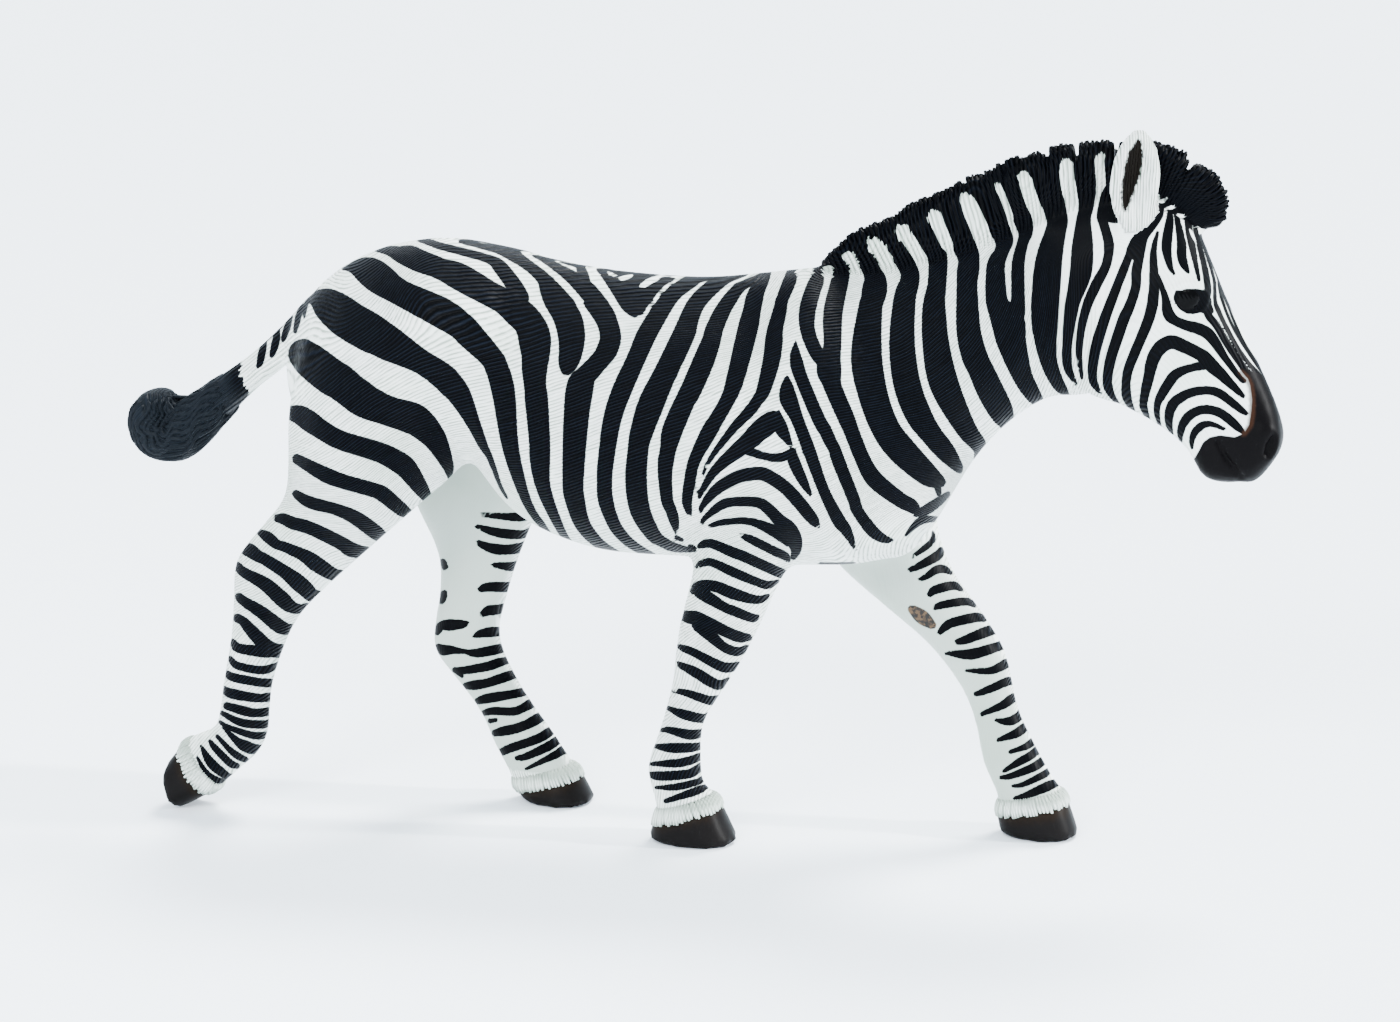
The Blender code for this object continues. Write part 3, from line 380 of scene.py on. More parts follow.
nostrilLine = [(1274, 438, 4), (1271, 446, 8), (1268, 454, 7)]
earOutline = [
    (1154, 131), (1157, 150), (1159.5, 161), (1162.5, 171), (1162, 185), (1157.5, 203), (1158, 212),
    (1150, 224), (1140, 231), (1127, 236), (1117.5, 219), (1111.5, 204), (1108.5, 189), (1110, 165),
    (1116.5, 143), (1127, 128), (1143, 122),
]
tuftOutline = [
    (246, 340), (243, 358), (239, 373), (247, 391), (258, 398), (262, 425), (200, 480), (110, 480),
    (110, 360), (170, 350),
]
scalpGaps = [
    [(1190, 229.6, 3), (1193, 236, 4), (1197, 245, 1.5)],
    [(1158.5, 201.5, 2), (1163, 201, 5), (1172, 194.5, 1.5)],
    [(1168, 208, 3), (1172.5, 207, 5), (1183, 200.5, 1.5)],
    [(1177, 214.5, 3), (1183, 216, 5), (1191, 211.5, 1.5)],
]
maneTopLine = [(812, 268, 34), (860, 243, 34), (962, 186, 34), (1060, 146, 34), (1110, 140, 34)]
rustLine = [(1241, 372, 4), (1248, 380, 5), (1251.5, 392, 5), (1252, 410, 5), (1250, 425, 5), (1244, 434, 4)]
chestnutLine = [(912, 609, 9), (922, 617, 15), (932, 625, 9)]

# How far a point counts as being outside a shape that it isn't near, in pixels
unpainted = -10.0
wellOutside = -20.0


# More rows on a smooth curve through the given ones
def smoothPath(path, steps):
    rows = np.asarray(path, float)
    padded = np.vstack([2 * rows[0] - rows[1], rows, 2 * rows[-1] - rows[-2]])
    found = []
    for i in range(len(rows) - 1):
        a, b, c, d = padded[i : i + 4]
        for k in range(steps):
            t = k / steps
            bend = (2 * a - 5 * b + 4 * c - d) * t**2 + (3 * b - a - 3 * c + d) * t**3
            found.append(0.5 * (2 * b + (c - a) * t + bend))
    found.append(rows[-1])
    return np.array(found)


# How many pixels each point lies inside the nearest stroke, less than zero outside
def strokeDepth(pixels, strokes, steps=4, reach=24.0):
    best = np.full(len(pixels), -reach)
    for path in strokes:
        rows = smoothPath(path, steps)
        low = rows[:, :2].min(axis=0) - reach
        high = rows[:, :2].max(axis=0) + reach
        near = np.flatnonzero(np.all((pixels > low) & (pixels < high), axis=1))
        if not near.size:
            continue
        points = pixels[near]
        depth = best[near]
        for a, b in zip(rows[:-1], rows[1:]):
            along = b[:2] - a[:2]
            share = np.clip(((points - a[:2]) @ along) / max(along @ along, 1e-9), 0, 1)
            gap = np.linalg.norm(points - a[:2] - share[:, None] * along, axis=1)
            depth = np.maximum(depth, (a[2] + (b[2] - a[2]) * share) / 2 - gap)
        best[near] = depth
    return best


# The depth in every third stroke by itself, so that a thin gap between neighbours isn't lost between points
def inLayers(pixels, strokes):
    return np.stack([strokeDepth(pixels, strokes[first::3]) for first in range(3)])


# How many pixels each point lies inside a closed outline, less than zero outside
def patchDepth(pixels, outline):
    corners = np.asarray(outline, float)
    gap = np.full(len(pixels), np.inf)
    inside = np.zeros(len(pixels), bool)
    for a, b in zip(corners, np.roll(corners, -1, axis=0)):
        along = b - a
        share = np.clip(((pixels - a) @ along) / (along @ along), 0, 1)
        gap = np.minimum(gap, np.linalg.norm(pixels - a - share[:, None] * along, axis=1))
        crosses = (a[1] > pixels[:, 1]) != (b[1] > pixels[:, 1])
        meets = a[0] + (pixels[:, 1] - a[1]) / (b[1] - a[1] + 1e-12) * (b[0] - a[0])
        inside ^= crosses & (pixels[:, 0] < meets)
    return np.where(inside, gap, -gap)


# The strokes run on at their starts, so that they cross the whole leg
def extended(strokes, length, leastWidth=6.0, narrowing=0.85):
    longer = []
    for path in strokes:
        first, second = np.array(path[0], float), np.array(path[min(2, len(path) - 1)], float)
        way = (first - second)[:2]
        way /= np.linalg.norm(way)
        width = max(leastWidth, second[2] * narrowing)
        start = [(*(first[:2] + way * length), width), (*(first[:2] + way * length / 2), width)]
        longer.append(start + [(*first[:2], width)] + [tuple(row) for row in path[1:]])
    return longer


# The points of an object's mesh and their normals, in side-view millimetres
def arrays(obj):
    mesh = obj.data
    points = np.empty(len(mesh.vertices) * 3)
    normals = np.empty(len(mesh.vertices) * 3)
    mesh.vertices.foreach_get("co", points)
    mesh.vertices.foreach_get("normal", normals)
    return points.reshape(-1, 3) * 1000, normals.reshape(-1, 3)


def movePoints(obj, points):
    obj.data.vertices.foreach_set("co", (points / 1000).ravel())
    obj.data.update()


def distanceTo(points, path):
    path = np.asarray(path, float)
    nearest = np.full(len(points), np.inf)
    for a, b in zip(path[:-1], path[1:]):
        along = b - a
        share = np.clip(((points - a) @ along) / (along @ along), 0, 1)
        nearest = np.minimum(nearest, np.linalg.norm(points - a - share[:, None] * along, axis=1))
    return nearest


def ramp(values, low, high):
    share = np.clip((values - low) / (high - low), 0, 1)
    return share * share * (3 - 2 * share)


def between(values, limits):
    return (values > limits[0]) & (values < limits[1])


def setFloats(obj, name, values):
    layer = obj.data.attributes.new(name, "FLOAT", "POINT")
    layer.data.foreach_set("value", np.asarray(values, np.float32))


def selectOnly(obj):
    bpy.ops.object.select_all(action="DESELECT")
    obj.select_set(True)
    bpy.context.view_layer.objects.active = obj


def applyModifiers(obj):
    selectOnly(obj)
    for modifier in list(obj.modifiers):
        bpy.ops.object.modifier_apply(modifier=modifier.name)


# The hide: the solid's form with finer points, packed closer on the head and the lower legs.
# Each easing row is where the smoothing starts, over how many millimetres it grows, and its least share.
hideSettings = {
    "merge": 0.000001,
    "subdivisions": 2,
    "voxel": 0.00137,
    "easing": 6,
    "hoofEasing": (20, 12, 0.12),
    "faceEasing": (126, 20, 0.15),
    "tuftEasing": (-128, 10, 0.25),
    "earEasing": (164, 0.15),  # above this height, by this share
    "headLine": ((94.0, 150.0), (128.0, 99.0)),  # over the throat
    "headAbove": 96,
    "shanks": (9, 40),
}


def makeHide():
    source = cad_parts["zebra"]
    mesh = source.data.copy()
    mesh.name = "zebraHide"
    mesh.materials.clear()
    hide = bpy.data.objects.new("zebraHide", mesh)
    bpy.context.scene.collection.objects.link(hide)
    selectOnly(hide)
    bpy.ops.object.mode_set(mode="EDIT")
    bpy.ops.mesh.select_all(action="SELECT")
    bpy.ops.mesh.remove_doubles(threshold=hideSettings["merge"])
    bpy.ops.object.mode_set(mode="OBJECT")
    finer = hide.modifiers.new("finer", "SUBSURF")
    finer.levels = hideSettings["subdivisions"]
    finer.render_levels = hideSettings["subdivisions"]
    even = hide.modifiers.new("even", "REMESH")
    even.mode = "VOXEL"
    even.voxel_size = hideSettings["voxel"]
    applyModifiers(hide)
    return hide


# Smooths the body more than the hooves, the ears, the face and the tail's tuft
def easeBody(hide):
    points, _ = arrays(hide)
    x, _, z = points.T
    start, reach, least = hideSettings["hoofEasing"]
    share = np.clip((z - start) / reach, least, 1)
    start, reach, least = hideSettings["faceEasing"]
    share *= np.clip((start - x) / reach, least, 1)
    start, least = hideSettings["earEasing"]
    share *= np.where(z > start, least, 1)
    start, reach, least = hideSettings["tuftEasing"]
    share *= np.clip((x - start) / reach, least, 1)
    group = hide.vertex_groups.new(name="ease")
    for level in np.unique(np.round(share, 1)):
        chosen = np.flatnonzero(np.round(share, 1) == level)
        group.add(chosen.tolist(), float(level), "REPLACE")
    smooth = hide.modifiers.new("ease", "SMOOTH")
    smooth.factor = 0.5
    smooth.iterations = hideSettings["easing"]
    smooth.vertex_group = "ease"
    applyModifiers(hide)


# Splits the faces in front of a slanting line over the throat, and those of the lower legs
def refineHide(hide):
    (x0, z0), (x1, z1) = hideSettings["headLine"]
    low, high = hideSettings["shanks"]
    mesh = bmesh.new()
    mesh.from_mesh(hide.data)
    chosen = []
    for edge in mesh.edges:
        middle = (edge.verts[0].co + edge.verts[1].co) / 2
        x = middle.x * 1000
        z = middle.z * 1000
        onHead = (x - x0) * (z1 - z0) - (z - z0) * (x1 - x0) < 0 and z > hideSettings["headAbove"]
        if onHead or low < z < high:
            chosen.append(edge)
    bmesh.ops.subdivide_edges(mesh, edges=chosen, cuts=1, use_grid_fill=True, smooth=0.6)
    bmesh.ops.triangulate(mesh, faces=[face for face in mesh.faces if len(face.verts) > 4])
    mesh.to_mesh(hide.data)
    mesh.free()


hide = makeHide()
print("hide remeshed", len(hide.data.vertices))
easeBody(hide)
refineHide(hide)
triangles = sum(len(face.vertices) - 2 for face in hide.data.polygons)
print("hide refined", len(hide.data.vertices), "points,", triangles, "triangles")


# How the carved hair lies, in side-view millimetres. Each row has a line's start x, z and end x, z,
# the hair's slant there in degrees, and how far that reaches.
hairFlow = [
    ((-45, 118), (30, 112), 21, 30), ((-60, 147), (20, 143), -3, 9), ((-80, 108), (-76, 124), 42, 22),
    ((40, 142), (40, 124), 5, 16), ((70, 140), (96, 124), 42, 24), ((30, 104), (52, 100), 32, 18),
    ((-135, 12), (-118, 45), 62, 14), ((-118, 45), (-98, 75), 56, 16), ((-42, 8), (-62, 50), 112, 14),
    ((-62, 50), (-60, 85), 92, 14), ((5, 12), (13, 45), 82, 14), ((13, 45), (24, 76), 74, 14),
    ((92, 12), (76, 50), 114, 14), ((76, 50), (58, 84), 122, 14), ((45, 156), (80, 169), 122, 7),
    ((90, 172), (112, 179), 97, 8), ((122, 180), (133, 177), 55, 8), ((137, 172), (138, 166), 14, 6),
    ((-100, 137), (-140, 106), 40, 9), ((-150, 97), (-152, 108), 92, 7), ((135, 140), (150, 105), -62, 30),
]


# Distances along and across the carved hair, in millimetres, bent to follow the flow
def hairLines(points):
    flat = points[:, [0, 2]]
    base = math.radians(hairFlow[0][2])
    weights = np.full(len(points), 1e-9)
    sums = np.zeros((len(points), 2))
    for start, end, slant, reach in hairFlow:
        middle = (np.array(start) + np.array(end)) / 2
        weight = np.exp(-((distanceTo(flat, [start, end]) / reach) ** 2))
        turn = math.radians(slant)
        away = flat - middle
        along = away @ (math.cos(turn), math.sin(turn)) + middle @ (math.cos(base), math.sin(base))
        across = away @ (-math.sin(turn), math.cos(turn)) + middle @ (-math.sin(base), math.cos(base))
        sums += weight[:, None] * np.stack([along, across], -1)
        weights += weight
    return (sums / weights[:, None]).T


# How far a point lies in front of the slanting line over the throat, in millimetres
def headward(points):
    (x0, z0), (x1, z1) = hideSettings["headLine"]
    x, _, z = points.T
    return ((z - z0) * (x1 - x0) - (x - x0) * (z1 - z0)) / math.hypot(x1 - x0, z1 - z0)


# The height at which the mane leaves the neck
crestLine = ((38, 55, 70, 87, 100, 112, 125, 133), (152.5, 154, 158.5, 166, 171, 174.5, 173, 167))
maneStart = 36
tailEnd = -100  # what lies behind this is the tail or the trailing leg


def crestHeight(x):
    return np.interp(x, *crestLine)


# Where every point falls in the photograph, with the far side's points mirrored on the near side
def nearPixels(points):
    ones = np.ones(len(points))
    return toPixels(points / 1000 * np.stack([ones, np.where(points[:, 1] > 0, -1, 1), ones], -1))


# Where one kind of stripe gives way to another, in side-view millimetres unless a note says otherwise
stripeSettings = {
    "outward": 0.15,  # how far a far leg's surface faces outwards to count as its outer side
    "groin": -36,
    "elbow": 38,
    "legTop": 106,
    "fades": ((94, 104), (78, 90), (90, 99)),  # where mirrored strokes fade on the thigh, belly and shoulder
    "fadeDepth": 12,  # pixels
    "thigh": (-98, -36),
    "shoulder": (-12, 100),
    "hindLeg": (-82, -10),
    "hindTops": (74, 104),
    "hindJoin": 72,
    "foreLeg": (40, 125),
    "foreTop": 96,
    "foreJoin": (62, 70),
    "joinDepth": 8,  # pixels
    "hindRunOn": 50,  # pixels
    "foreRunOn": 34,  # pixels
    "belly": (-40, 60),
    "bellyHeights": (66, 92),
    "bellyFacing": -0.3,
    "bellyGap": 6,  # half the width of the white band under the belly
    "legsBelow": 70,
    "hocksBelow": 80,
    "broader": {"leg": 0.75, "head": 0.7, "body": 0.5, "tail": 0.3},  # pixels added all round a stroke
    "maneHalfWidth": 5,
}
earSettings = {
    "above": 164,
    "beside": 5.2,
    "farLine": [(117.0, 9.0, 171), (106.0, 15.0, 183.6)],
    "farReach": 7.8,
    "backFacing": -0.25,
    "backAbove": 176,
    "backInk": 6.0,
    "frontInk": -8.0,
}


# The far legs' own stripes: as seen on their inner sides, run on over their outer sides
def farLegInk(ink, points, here, outer):
    x, y, z = points.T
    sizes = stripeSettings
    lowTop, highTop = sizes["hindTops"]
    hindHeights = (z < lowTop) | (z < highTop) & ((x < sizes["groin"]) | ~outer)
    hind = (y > 0) & between(x, sizes["hindLeg"]) & hindHeights
    fore = (y > 0) & (z < sizes["foreTop"]) & between(x, sizes["foreLeg"])
    hindOuter = inLayers(here, extended(farHindStrokes, sizes["hindRunOn"]))
    foreOuter = inLayers(here, extended(farForeStrokes, sizes["foreRunOn"]))
    ink = np.where(hind & ~outer, inLayers(here, farHindStrokes + farHindMarks), ink)
    upperHind = np.maximum(ink, hindOuter)
    ink = np.where(hind & outer, np.where(z < sizes["hindJoin"], hindOuter, upperHind), ink)
    ink = np.where(fore & ~outer, inLayers(here, farForeStrokes), ink)
    upperFore = np.maximum(ink, foreOuter - sizes["joinDepth"] * ramp(z, *sizes["foreJoin"]))
    return np.where(fore & outer, np.where(z < sizes["foreJoin"][0], foreOuter, upperFore), ink)


# Which points are on an ear, and which of them on the black back of its tip
def earMasks(points, facing, seen):
    _, y, z = points.T
    sizes = earSettings
    near = (patchDepth(seen, earOutline) > 0) & (y < -sizes["beside"])
    far = (distanceTo(points, sizes["farLine"]) < sizes["farReach"]) & (y > sizes["beside"])
    onEar = np.where(y < 0, near, far) & (z > sizes["above"])
    return onEar, onEar & (facing * np.sign(y) < sizes["backFacing"]) & (z > sizes["backAbove"])


# The depth of every point in the black paint, in pixels, in three layers
def stripes(points, normals):
    x, y, z = points.T
    sizes = stripeSettings
    here = toPixels(points / 1000)
    seen = nearPixels(points)
    facing = normals[:, 1]
    body = trunkStrokes + haunchStrokes + nearHindStrokes + shoulderStrokes + nearForeStrokes + neckStrokes
    body += headStrokes + tailStrokes + scalpStrokes
    ink = inLayers(seen, body)
    ink = np.minimum(ink, -strokeDepth(seen, loinGaps + scalpGaps))
    outer = facing >= sizes["outward"]
    scaled = [np.array(path) * millimetrePixels for path in farUpperStrokes]
    upper = inLayers(points[:, [0, 2]] * millimetrePixels, scaled)
    thigh, belly, shoulder = (ramp(z, *heights) for heights in sizes["fades"])
    fading = np.where(x < sizes["groin"], thigh, np.where(x < sizes["elbow"], belly, shoulder))
    besideLegs = between(x, sizes["thigh"]) | between(x, sizes["shoulder"])
    onUpperLeg = (y > 0) & (z < sizes["legTop"]) & besideLegs
    ink = np.where(onUpperLeg, ink - sizes["fadeDepth"] * (1 - fading), ink)
    ink = np.where((y > 0) & outer & (z < sizes["legTop"]), np.maximum(ink, upper), ink)
    ink = farLegInk(ink, points, here, outer)
    wider = sizes["broader"]
    overLegs = np.where(headward(points) > 0, wider["head"], wider["body"])
    ahead = np.where(z < sizes["legsBelow"], wider["leg"], overLegs)
    behind = np.where(z < sizes["hocksBelow"], wider["leg"], wider["tail"])
    ink = ink + np.where(x < tailEnd, behind, ahead)
    underneath = normals[:, 2] < sizes["bellyFacing"]
    onBelly = underneath & between(z, sizes["bellyHeights"]) & between(x, sizes["belly"])
    ink = np.where(onBelly, np.minimum(ink, (np.abs(y) - sizes["bellyGap"]) * 1.5), ink)
    ink = np.maximum(ink, np.where(x < tailEnd, patchDepth(seen, tuftOutline), wellOutside))
    inMane = (np.abs(y) < sizes["maneHalfWidth"]) & (z > crestHeight(x)) & (x > maneStart)
    ink = np.where(inMane, -strokeDepth(seen, maneGaps), ink)
    onEar, backOfEar = earMasks(points, facing, seen)
    earInk = np.where(backOfEar, earSettings["backInk"], earSettings["frontInk"])
    return np.where(onEar, earInk, ink), onEar, here, seen


# Each hoof's side and the front x, z and back x, z of its coronet
hoofLines = {
    "nearHind": (-1, (-129.4, 4.4, -138.0, 17.2)),
    "farHind": (1, (-33.0, 8.2, -51.4, 3.2)),
    "nearFore": (-1, (13.6, 10.4, -4.6, 5.0)),
    "farFore": (1, (101.8, 9.8, 82.8, 5.8)),
}
hoofReach = 22
noHoof = -9.0


def aroundHoof(points, side, line):
    x0, z0, x1, z1 = line
    away = np.hypot(points[:, 0] - (x0 + x1) / 2, points[:, 2] - (z0 + z1) / 2)
    return (away < hoofReach) & (points[:, 1] * side > 0)


# How far each point lies below its hoof's coronet, in millimetres, less than zero above
def hoofDepth(points):
    x, _, z = points.T
    depth = np.full(len(points), noHoof)
    for side, line in hoofLines.values():
        x0, z0, x1, z1 = line
        below = -((x - x0) * (z1 - z0) - (z - z0) * (x1 - x0)) / math.hypot(x1 - x0, z1 - z0)
        depth = np.where(aroundHoof(points, side, line), np.maximum(depth, below), depth)
    return depth


# What each layer of paint holds where nothing else is said
paintDefaults = {
    "inkA": unpainted, "inkB": unpainted, "inkC": unpainted, "muzzle": unpainted, "rust": unpainted,
    "hoof": unpainted, "eyeBall": unpainted, "earDark": unpainted, "chestnut": unpainted,
    "fringe": 0, "hairDepth": 1, "wash": 0, "tuftSheen": 0,
}
# The smaller patches of paint, painted shade on the legs' inner sides and a painted sheen on the tail's tuft
# among them: their places in side-view millimetres, and how strong they are
patchSettings = {
    "legs": (9, 104),
    "legHalfWidth": 1.5,
    "inwardSlope": (0.1, 0.6),
    "innerLegShade": 0.9,
    "tuftSheenShare": 0.42,
    "maneAbove": 150,
    "muzzleStart": 118,
    "eyePlace": (132.4, 148.0),
    "eyeRadius": 2.7,
    "chestnutBelow": 90,
    "smoothFace": (-2, 14),
    "faceHair": 0.2,
    "earHair": 1.2,
    "furrowSlope": (0.99, 0.75),
}


# Gives every point of a piece its place in each layer of paint. A fixed layer has the value that is given.
def paint(obj, **fixed):
    points, normals = arrays(obj)
    x, y, z = points.T
    sizes = patchSettings
    ink, onEar, here, seen = stripes(points, normals)
    layers = {name: np.full(len(points), float(value)) for name, value in paintDefaults.items()}
    layers["inkA"], layers["inkB"], layers["inkC"] = ink
    layers["hairAlong"], layers["hairAcross"] = hairLines(points)
    layers["hairAlong"][onEar] = z[onEar] * 1.2  # the hair runs up the ears
    layers["hairAcross"][onEar] = x[onEar] * 1.1 + y[onEar] * 0.5
    # Painted shade: the white is darkened on the legs' inner sides, where they face each other
    onLegs = between(z, sizes["legs"]) & (np.abs(y) > sizes["legHalfWidth"])
    layers["wash"] = sizes["innerLegShade"] * onLegs * ramp(-normals[:, 1] * np.sign(y), *sizes["inwardSlope"])
    tuft = patchDepth(seen, tuftOutline)
    # Painted sheen: the black of the tail's tuft is lighter and bluer
    layers["tuftSheen"] = sizes["tuftSheenShare"] * np.where(x < tailEnd, ramp(tuft, 4, 22), 0)
    tuftFringe = np.where(x < tailEnd, ramp(tuft, -9, -5), 0)
    maneFringe = np.where(z > sizes["maneAbove"], ramp(strokeDepth(seen, [maneTopLine]), -7, 0), 0)
    layers["fringe"] = np.maximum(tuftFringe, maneFringe)
    front = x > sizes["muzzleStart"]
    layers["muzzle"] = np.where(front, patchDepth(seen, muzzleEdge), wellOutside)
    layers["rust"] = np.where(front, strokeDepth(seen, [rustLine]), wellOutside) - 0.4
    layers["eyeBall"] = sizes["eyeRadius"] - np.hypot(x - sizes["eyePlace"][0], z - sizes["eyePlace"][1])
    inEar = onEar & (y < 0) & (normals[:, 1] < 0.3)
    layers["earDark"] = np.where(inEar, strokeDepth(here, [earSlit]), unpainted)
    inFarLeg = (y > 0) & (normals[:, 1] < 0) & (z < sizes["chestnutBelow"]) & (x > 0)
    layers["chestnut"] = np.where(inFarLeg, strokeDepth(here, [chestnutLine]), unpainted)
    layers["hoof"] = hoofDepth(points)
    offEar = 1 - (1 - sizes["faceHair"]) * ramp(headward(points), *sizes["smoothFace"])
    layers["hairDepth"] = np.where(onEar, sizes["earHair"], offEar) * (1 - layers["wash"])
    for name, value in fixed.items():
        layers[name] = np.zeros(len(points)) + value
    for name, values in layers.items():
        setFloats(obj, name, values)


# How far down the flank of its lock each point lies, from 0 on the crown to 1 in the furrow beside it: the
# share of painted shade there
def furrowShade(obj, radial=False):
    points, normals = arrays(obj)
    facing = np.abs(normals[:, 1])
    if radial:
        for side, line in hoofLines.values():
            own = aroundHoof(points, side, line)
            away = points[own, :2] - (points[own, :2].min(axis=0) + points[own, :2].max(axis=0)) / 2
            away /= np.linalg.norm(away, axis=1)[:, None] + 1e-9
            facing[own] = (normals[own, :2] * away).sum(axis=1)
    return ramp(facing, *patchSettings["furrowSlope"])


# Depths are in millimetres. A lid row is its distance from the eye's middle, its width and its height.
carveSettings = {
    "earDepth": 1.1,
    "mouthDepth": 0.75,
    "nostrilDepth": 1.5,
    "slitAbove": 166,
    "slitBeside": 6,
    "faceStart": 125,
    "mouthBelow": 130,
    "lid": (3.9, 0.75, 0.55),
    "lidGroove": (2.9, 0.45, -0.4),
}


# Deepens the ear, the mouth and the nostrils and raises the lids
def carveHead(hide):
    points, normals = arrays(hide)
    x, y, z = points.T
    sizes = carveSettings
    seen = nearPixels(points)
    inSlit = (z > sizes["slitAbove"]) & (y < -sizes["slitBeside"]) & (normals[:, 1] < 0.2)
    points[:, 1] += ramp(strokeDepth(seen, [earSlit]), -1.5, 2.5) * inSlit * sizes["earDepth"]
    front = (x > sizes["faceStart"]) & (z < sizes["mouthBelow"])
    mouth = ramp(strokeDepth(seen, [mouthLine]), -2.2, 1) * front
    nostril = ramp(strokeDepth(seen, [nostrilLine]), -2.5, 2) * front
    points -= normals * (mouth * sizes["mouthDepth"] + nostril * sizes["nostrilDepth"])[:, None]
    eyeX, eyeZ = patchSettings["eyePlace"]
    out = np.hypot((x - eyeX) * 0.9, z - eyeZ)
    lids = 0
    for middle, width, height in (sizes["lid"], sizes["lidGroove"]):
        lids = lids + np.exp(-(((out - middle) / width) ** 2)) * height
    beside = (np.abs(y) > 4) & (x > 120)
    points += normals * (lids * beside)[:, None]
    movePoints(hide, points)


# Notches in the mane: the photograph's x of each, its depth in millimetres and its half-width in pixels
maneNotches = [
    (1044, 3.0, 2.6), (1075, 3.4, 3.0), (1116, 5.5, 3.6), (1001, 1.2, 3), (962, 1.0, 3), (1191, 3.2, 4),
]
# The mane's foot x, z and tip x, z, from the withers to the forelock
maneRows = [
    (38, 151, 36.8, 152.2), (45, 150.8, 41.4, 156.6), (55, 151.8, 49.6, 161.5), (63.5, 154, 57.6, 165.6),
    (70, 156, 65.2, 169.4), (79, 159, 74.4, 174.4), (87, 162.4, 83.0, 178.0), (93, 165, 90.5, 180.5),
    (100.6, 168.6, 99.1, 183.4), (108, 170.6, 107.8, 185.2), (114.5, 172, 115.2, 185.5),
    (120.5, 172.6, 123.3, 184.9), (125.4, 171.8, 130.3, 182.0), (129, 169.8, 136.2, 177.9),
    (131.4, 167, 139.5, 172.1), (133, 164.6, 139.5, 165.7),
]
# The tail's upper x, z and lower x, z, from the dock to the tip of the curled tuft
tailRows = [
    (-117.8, 126.4, -118.4, 115.2), (-123.4, 122.0, -121.4, 112.6), (-129.5, 117.9, -125.2, 109.2),
    (-135, 114.0, -129.4, 105), (-139.8, 110.8, -133.5, 100.6), (-142.4, 107.8, -137.6, 96.6),
    (-143.6, 105.0, -143.6, 93.8), (-144.2, 104.2, -151.0, 95.6), (-143.9, 106.6, -155, 100.6),
    (-143.4, 109.2, -155.6, 106.6), (-144.6, 112.0, -153.2, 111.4),
]
chance = random.Random(11)


# Tapering locks of hair. Each path's rows are x, y, z in side-view millimetres and a share of the thickness.
def makeLocks(name, paths, thickness):
    bpy.ops.object.select_all(action="DESELECT")
    bpy.ops.curve.primitive_bezier_curve_add()
    locks = bpy.context.object
    locks.name = name
    curve = locks.data
    curve.dimensions = "3D"
    curve.bevel_depth = thickness / 1000
    curve.bevel_resolution = 1
    curve.use_fill_caps = True
    curve.splines.clear()
    for path in paths:
        spline = curve.splines.new("POLY")
        spline.points.add(len(path) - 1)
        for point, (x, y, z, share) in zip(spline.points, path):
            point.co = (x / 1000, y / 1000, z / 1000, 1)
            point.radius = share
    selectOnly(locks)
    bpy.ops.object.convert(target="MESH")
    locks = bpy.context.object
    bpy.ops.object.mode_set(mode="EDIT")
    bpy.ops.mesh.select_all(action="SELECT")
    bpy.ops.mesh.remove_doubles(threshold=hideSettings["merge"])
    bpy.ops.mesh.normals_make_consistent(inside=False)
    bpy.ops.object.mode_set(mode="OBJECT")
    bpy.ops.object.shade_smooth()
    return locks


# Where a ray from start to target, in side-view millimetres, meets the hide, or nothing
def surfacePoint(hide, start, target):
    origin = Vector(start) / 1000
    way = Vector(target) / 1000 - origin
    met, place, _, _ = hide.ray_cast(origin, way.normalized(), distance=way.length)
    return Vector(place) * 1000 if met else None


def rowPixel(x, z):
    return toPixels(np.array([[x / 1000, -0.003, z / 1000]]))[0]


def notchAt(pixelX):
    return sum(depth * math.exp(-(((pixelX - place) / width) ** 2)) for place, depth, width in maneNotches)


# Lowers the edge of the mane where locks part in the photograph
def cutNotches(hide):
    rows = smoothPath(maneRows, 8)
    foot, tip = rows[:, :2], rows[:, 2:4]
    way = tip - foot
    points, _ = arrays(hide)
    inMane = (np.abs(points[:, 1]) < 5.2) & (points[:, 2] > crestHeight(points[:, 0]))
    for i in np.flatnonzero(inMane & (points[:, 0] > maneStart)):
        x, _, z = points[i]
        along = (x - foot[:, 0]) * way[:, 0] + (z - foot[:, 1]) * way[:, 1]
        share = np.clip(along / (way**2).sum(axis=1), 0, 1.1)
        gap = np.hypot(x - foot[:, 0] - share * way[:, 0], z - foot[:, 1] - share * way[:, 1])
        k = int(np.argmin(gap))
        drop = notchAt(rowPixel(*tip[k])[0]) * ramp(np.array([share[k]]), 0.55, 0.95)[0]
        length = math.hypot(*way[k])
        points[i, 0] -= way[k, 0] / length * drop
        points[i, 2] -= way[k, 1] / length * drop
    movePoints(hide, points)


# Millimetres, with shares of the thickness in the tapers. Rise is how far the locks stand above the solid's
# edge, by the photograph's x. Ridge has a share of the lock's length and of the thickness.
maneSettings = {
    "pitch": 1.2,
    "thickness": 0.68,
    "firstLock": 1.5,
    "bareEnd": 0.4,
    "halfWidth": 4.0,
    "searchHalfWidth": 6.2,
    "sunk": 0.12,
    "footShare": -0.06,
    "rise": ((830, 860, 1105, 1125), (0.3, 1.0, 0.8, 0)),
    "taper": (0.3, 0.8, 0.95, 1.05, 1.05, 1.1, 1.1, 1.1, 1.05, 0.95, 0.5),
    "ridge": ((0.6, 1.2), (0.75, 1.4), (0.9, 1.3), (0.98, 1.1), (1.0, 0.6)),
}


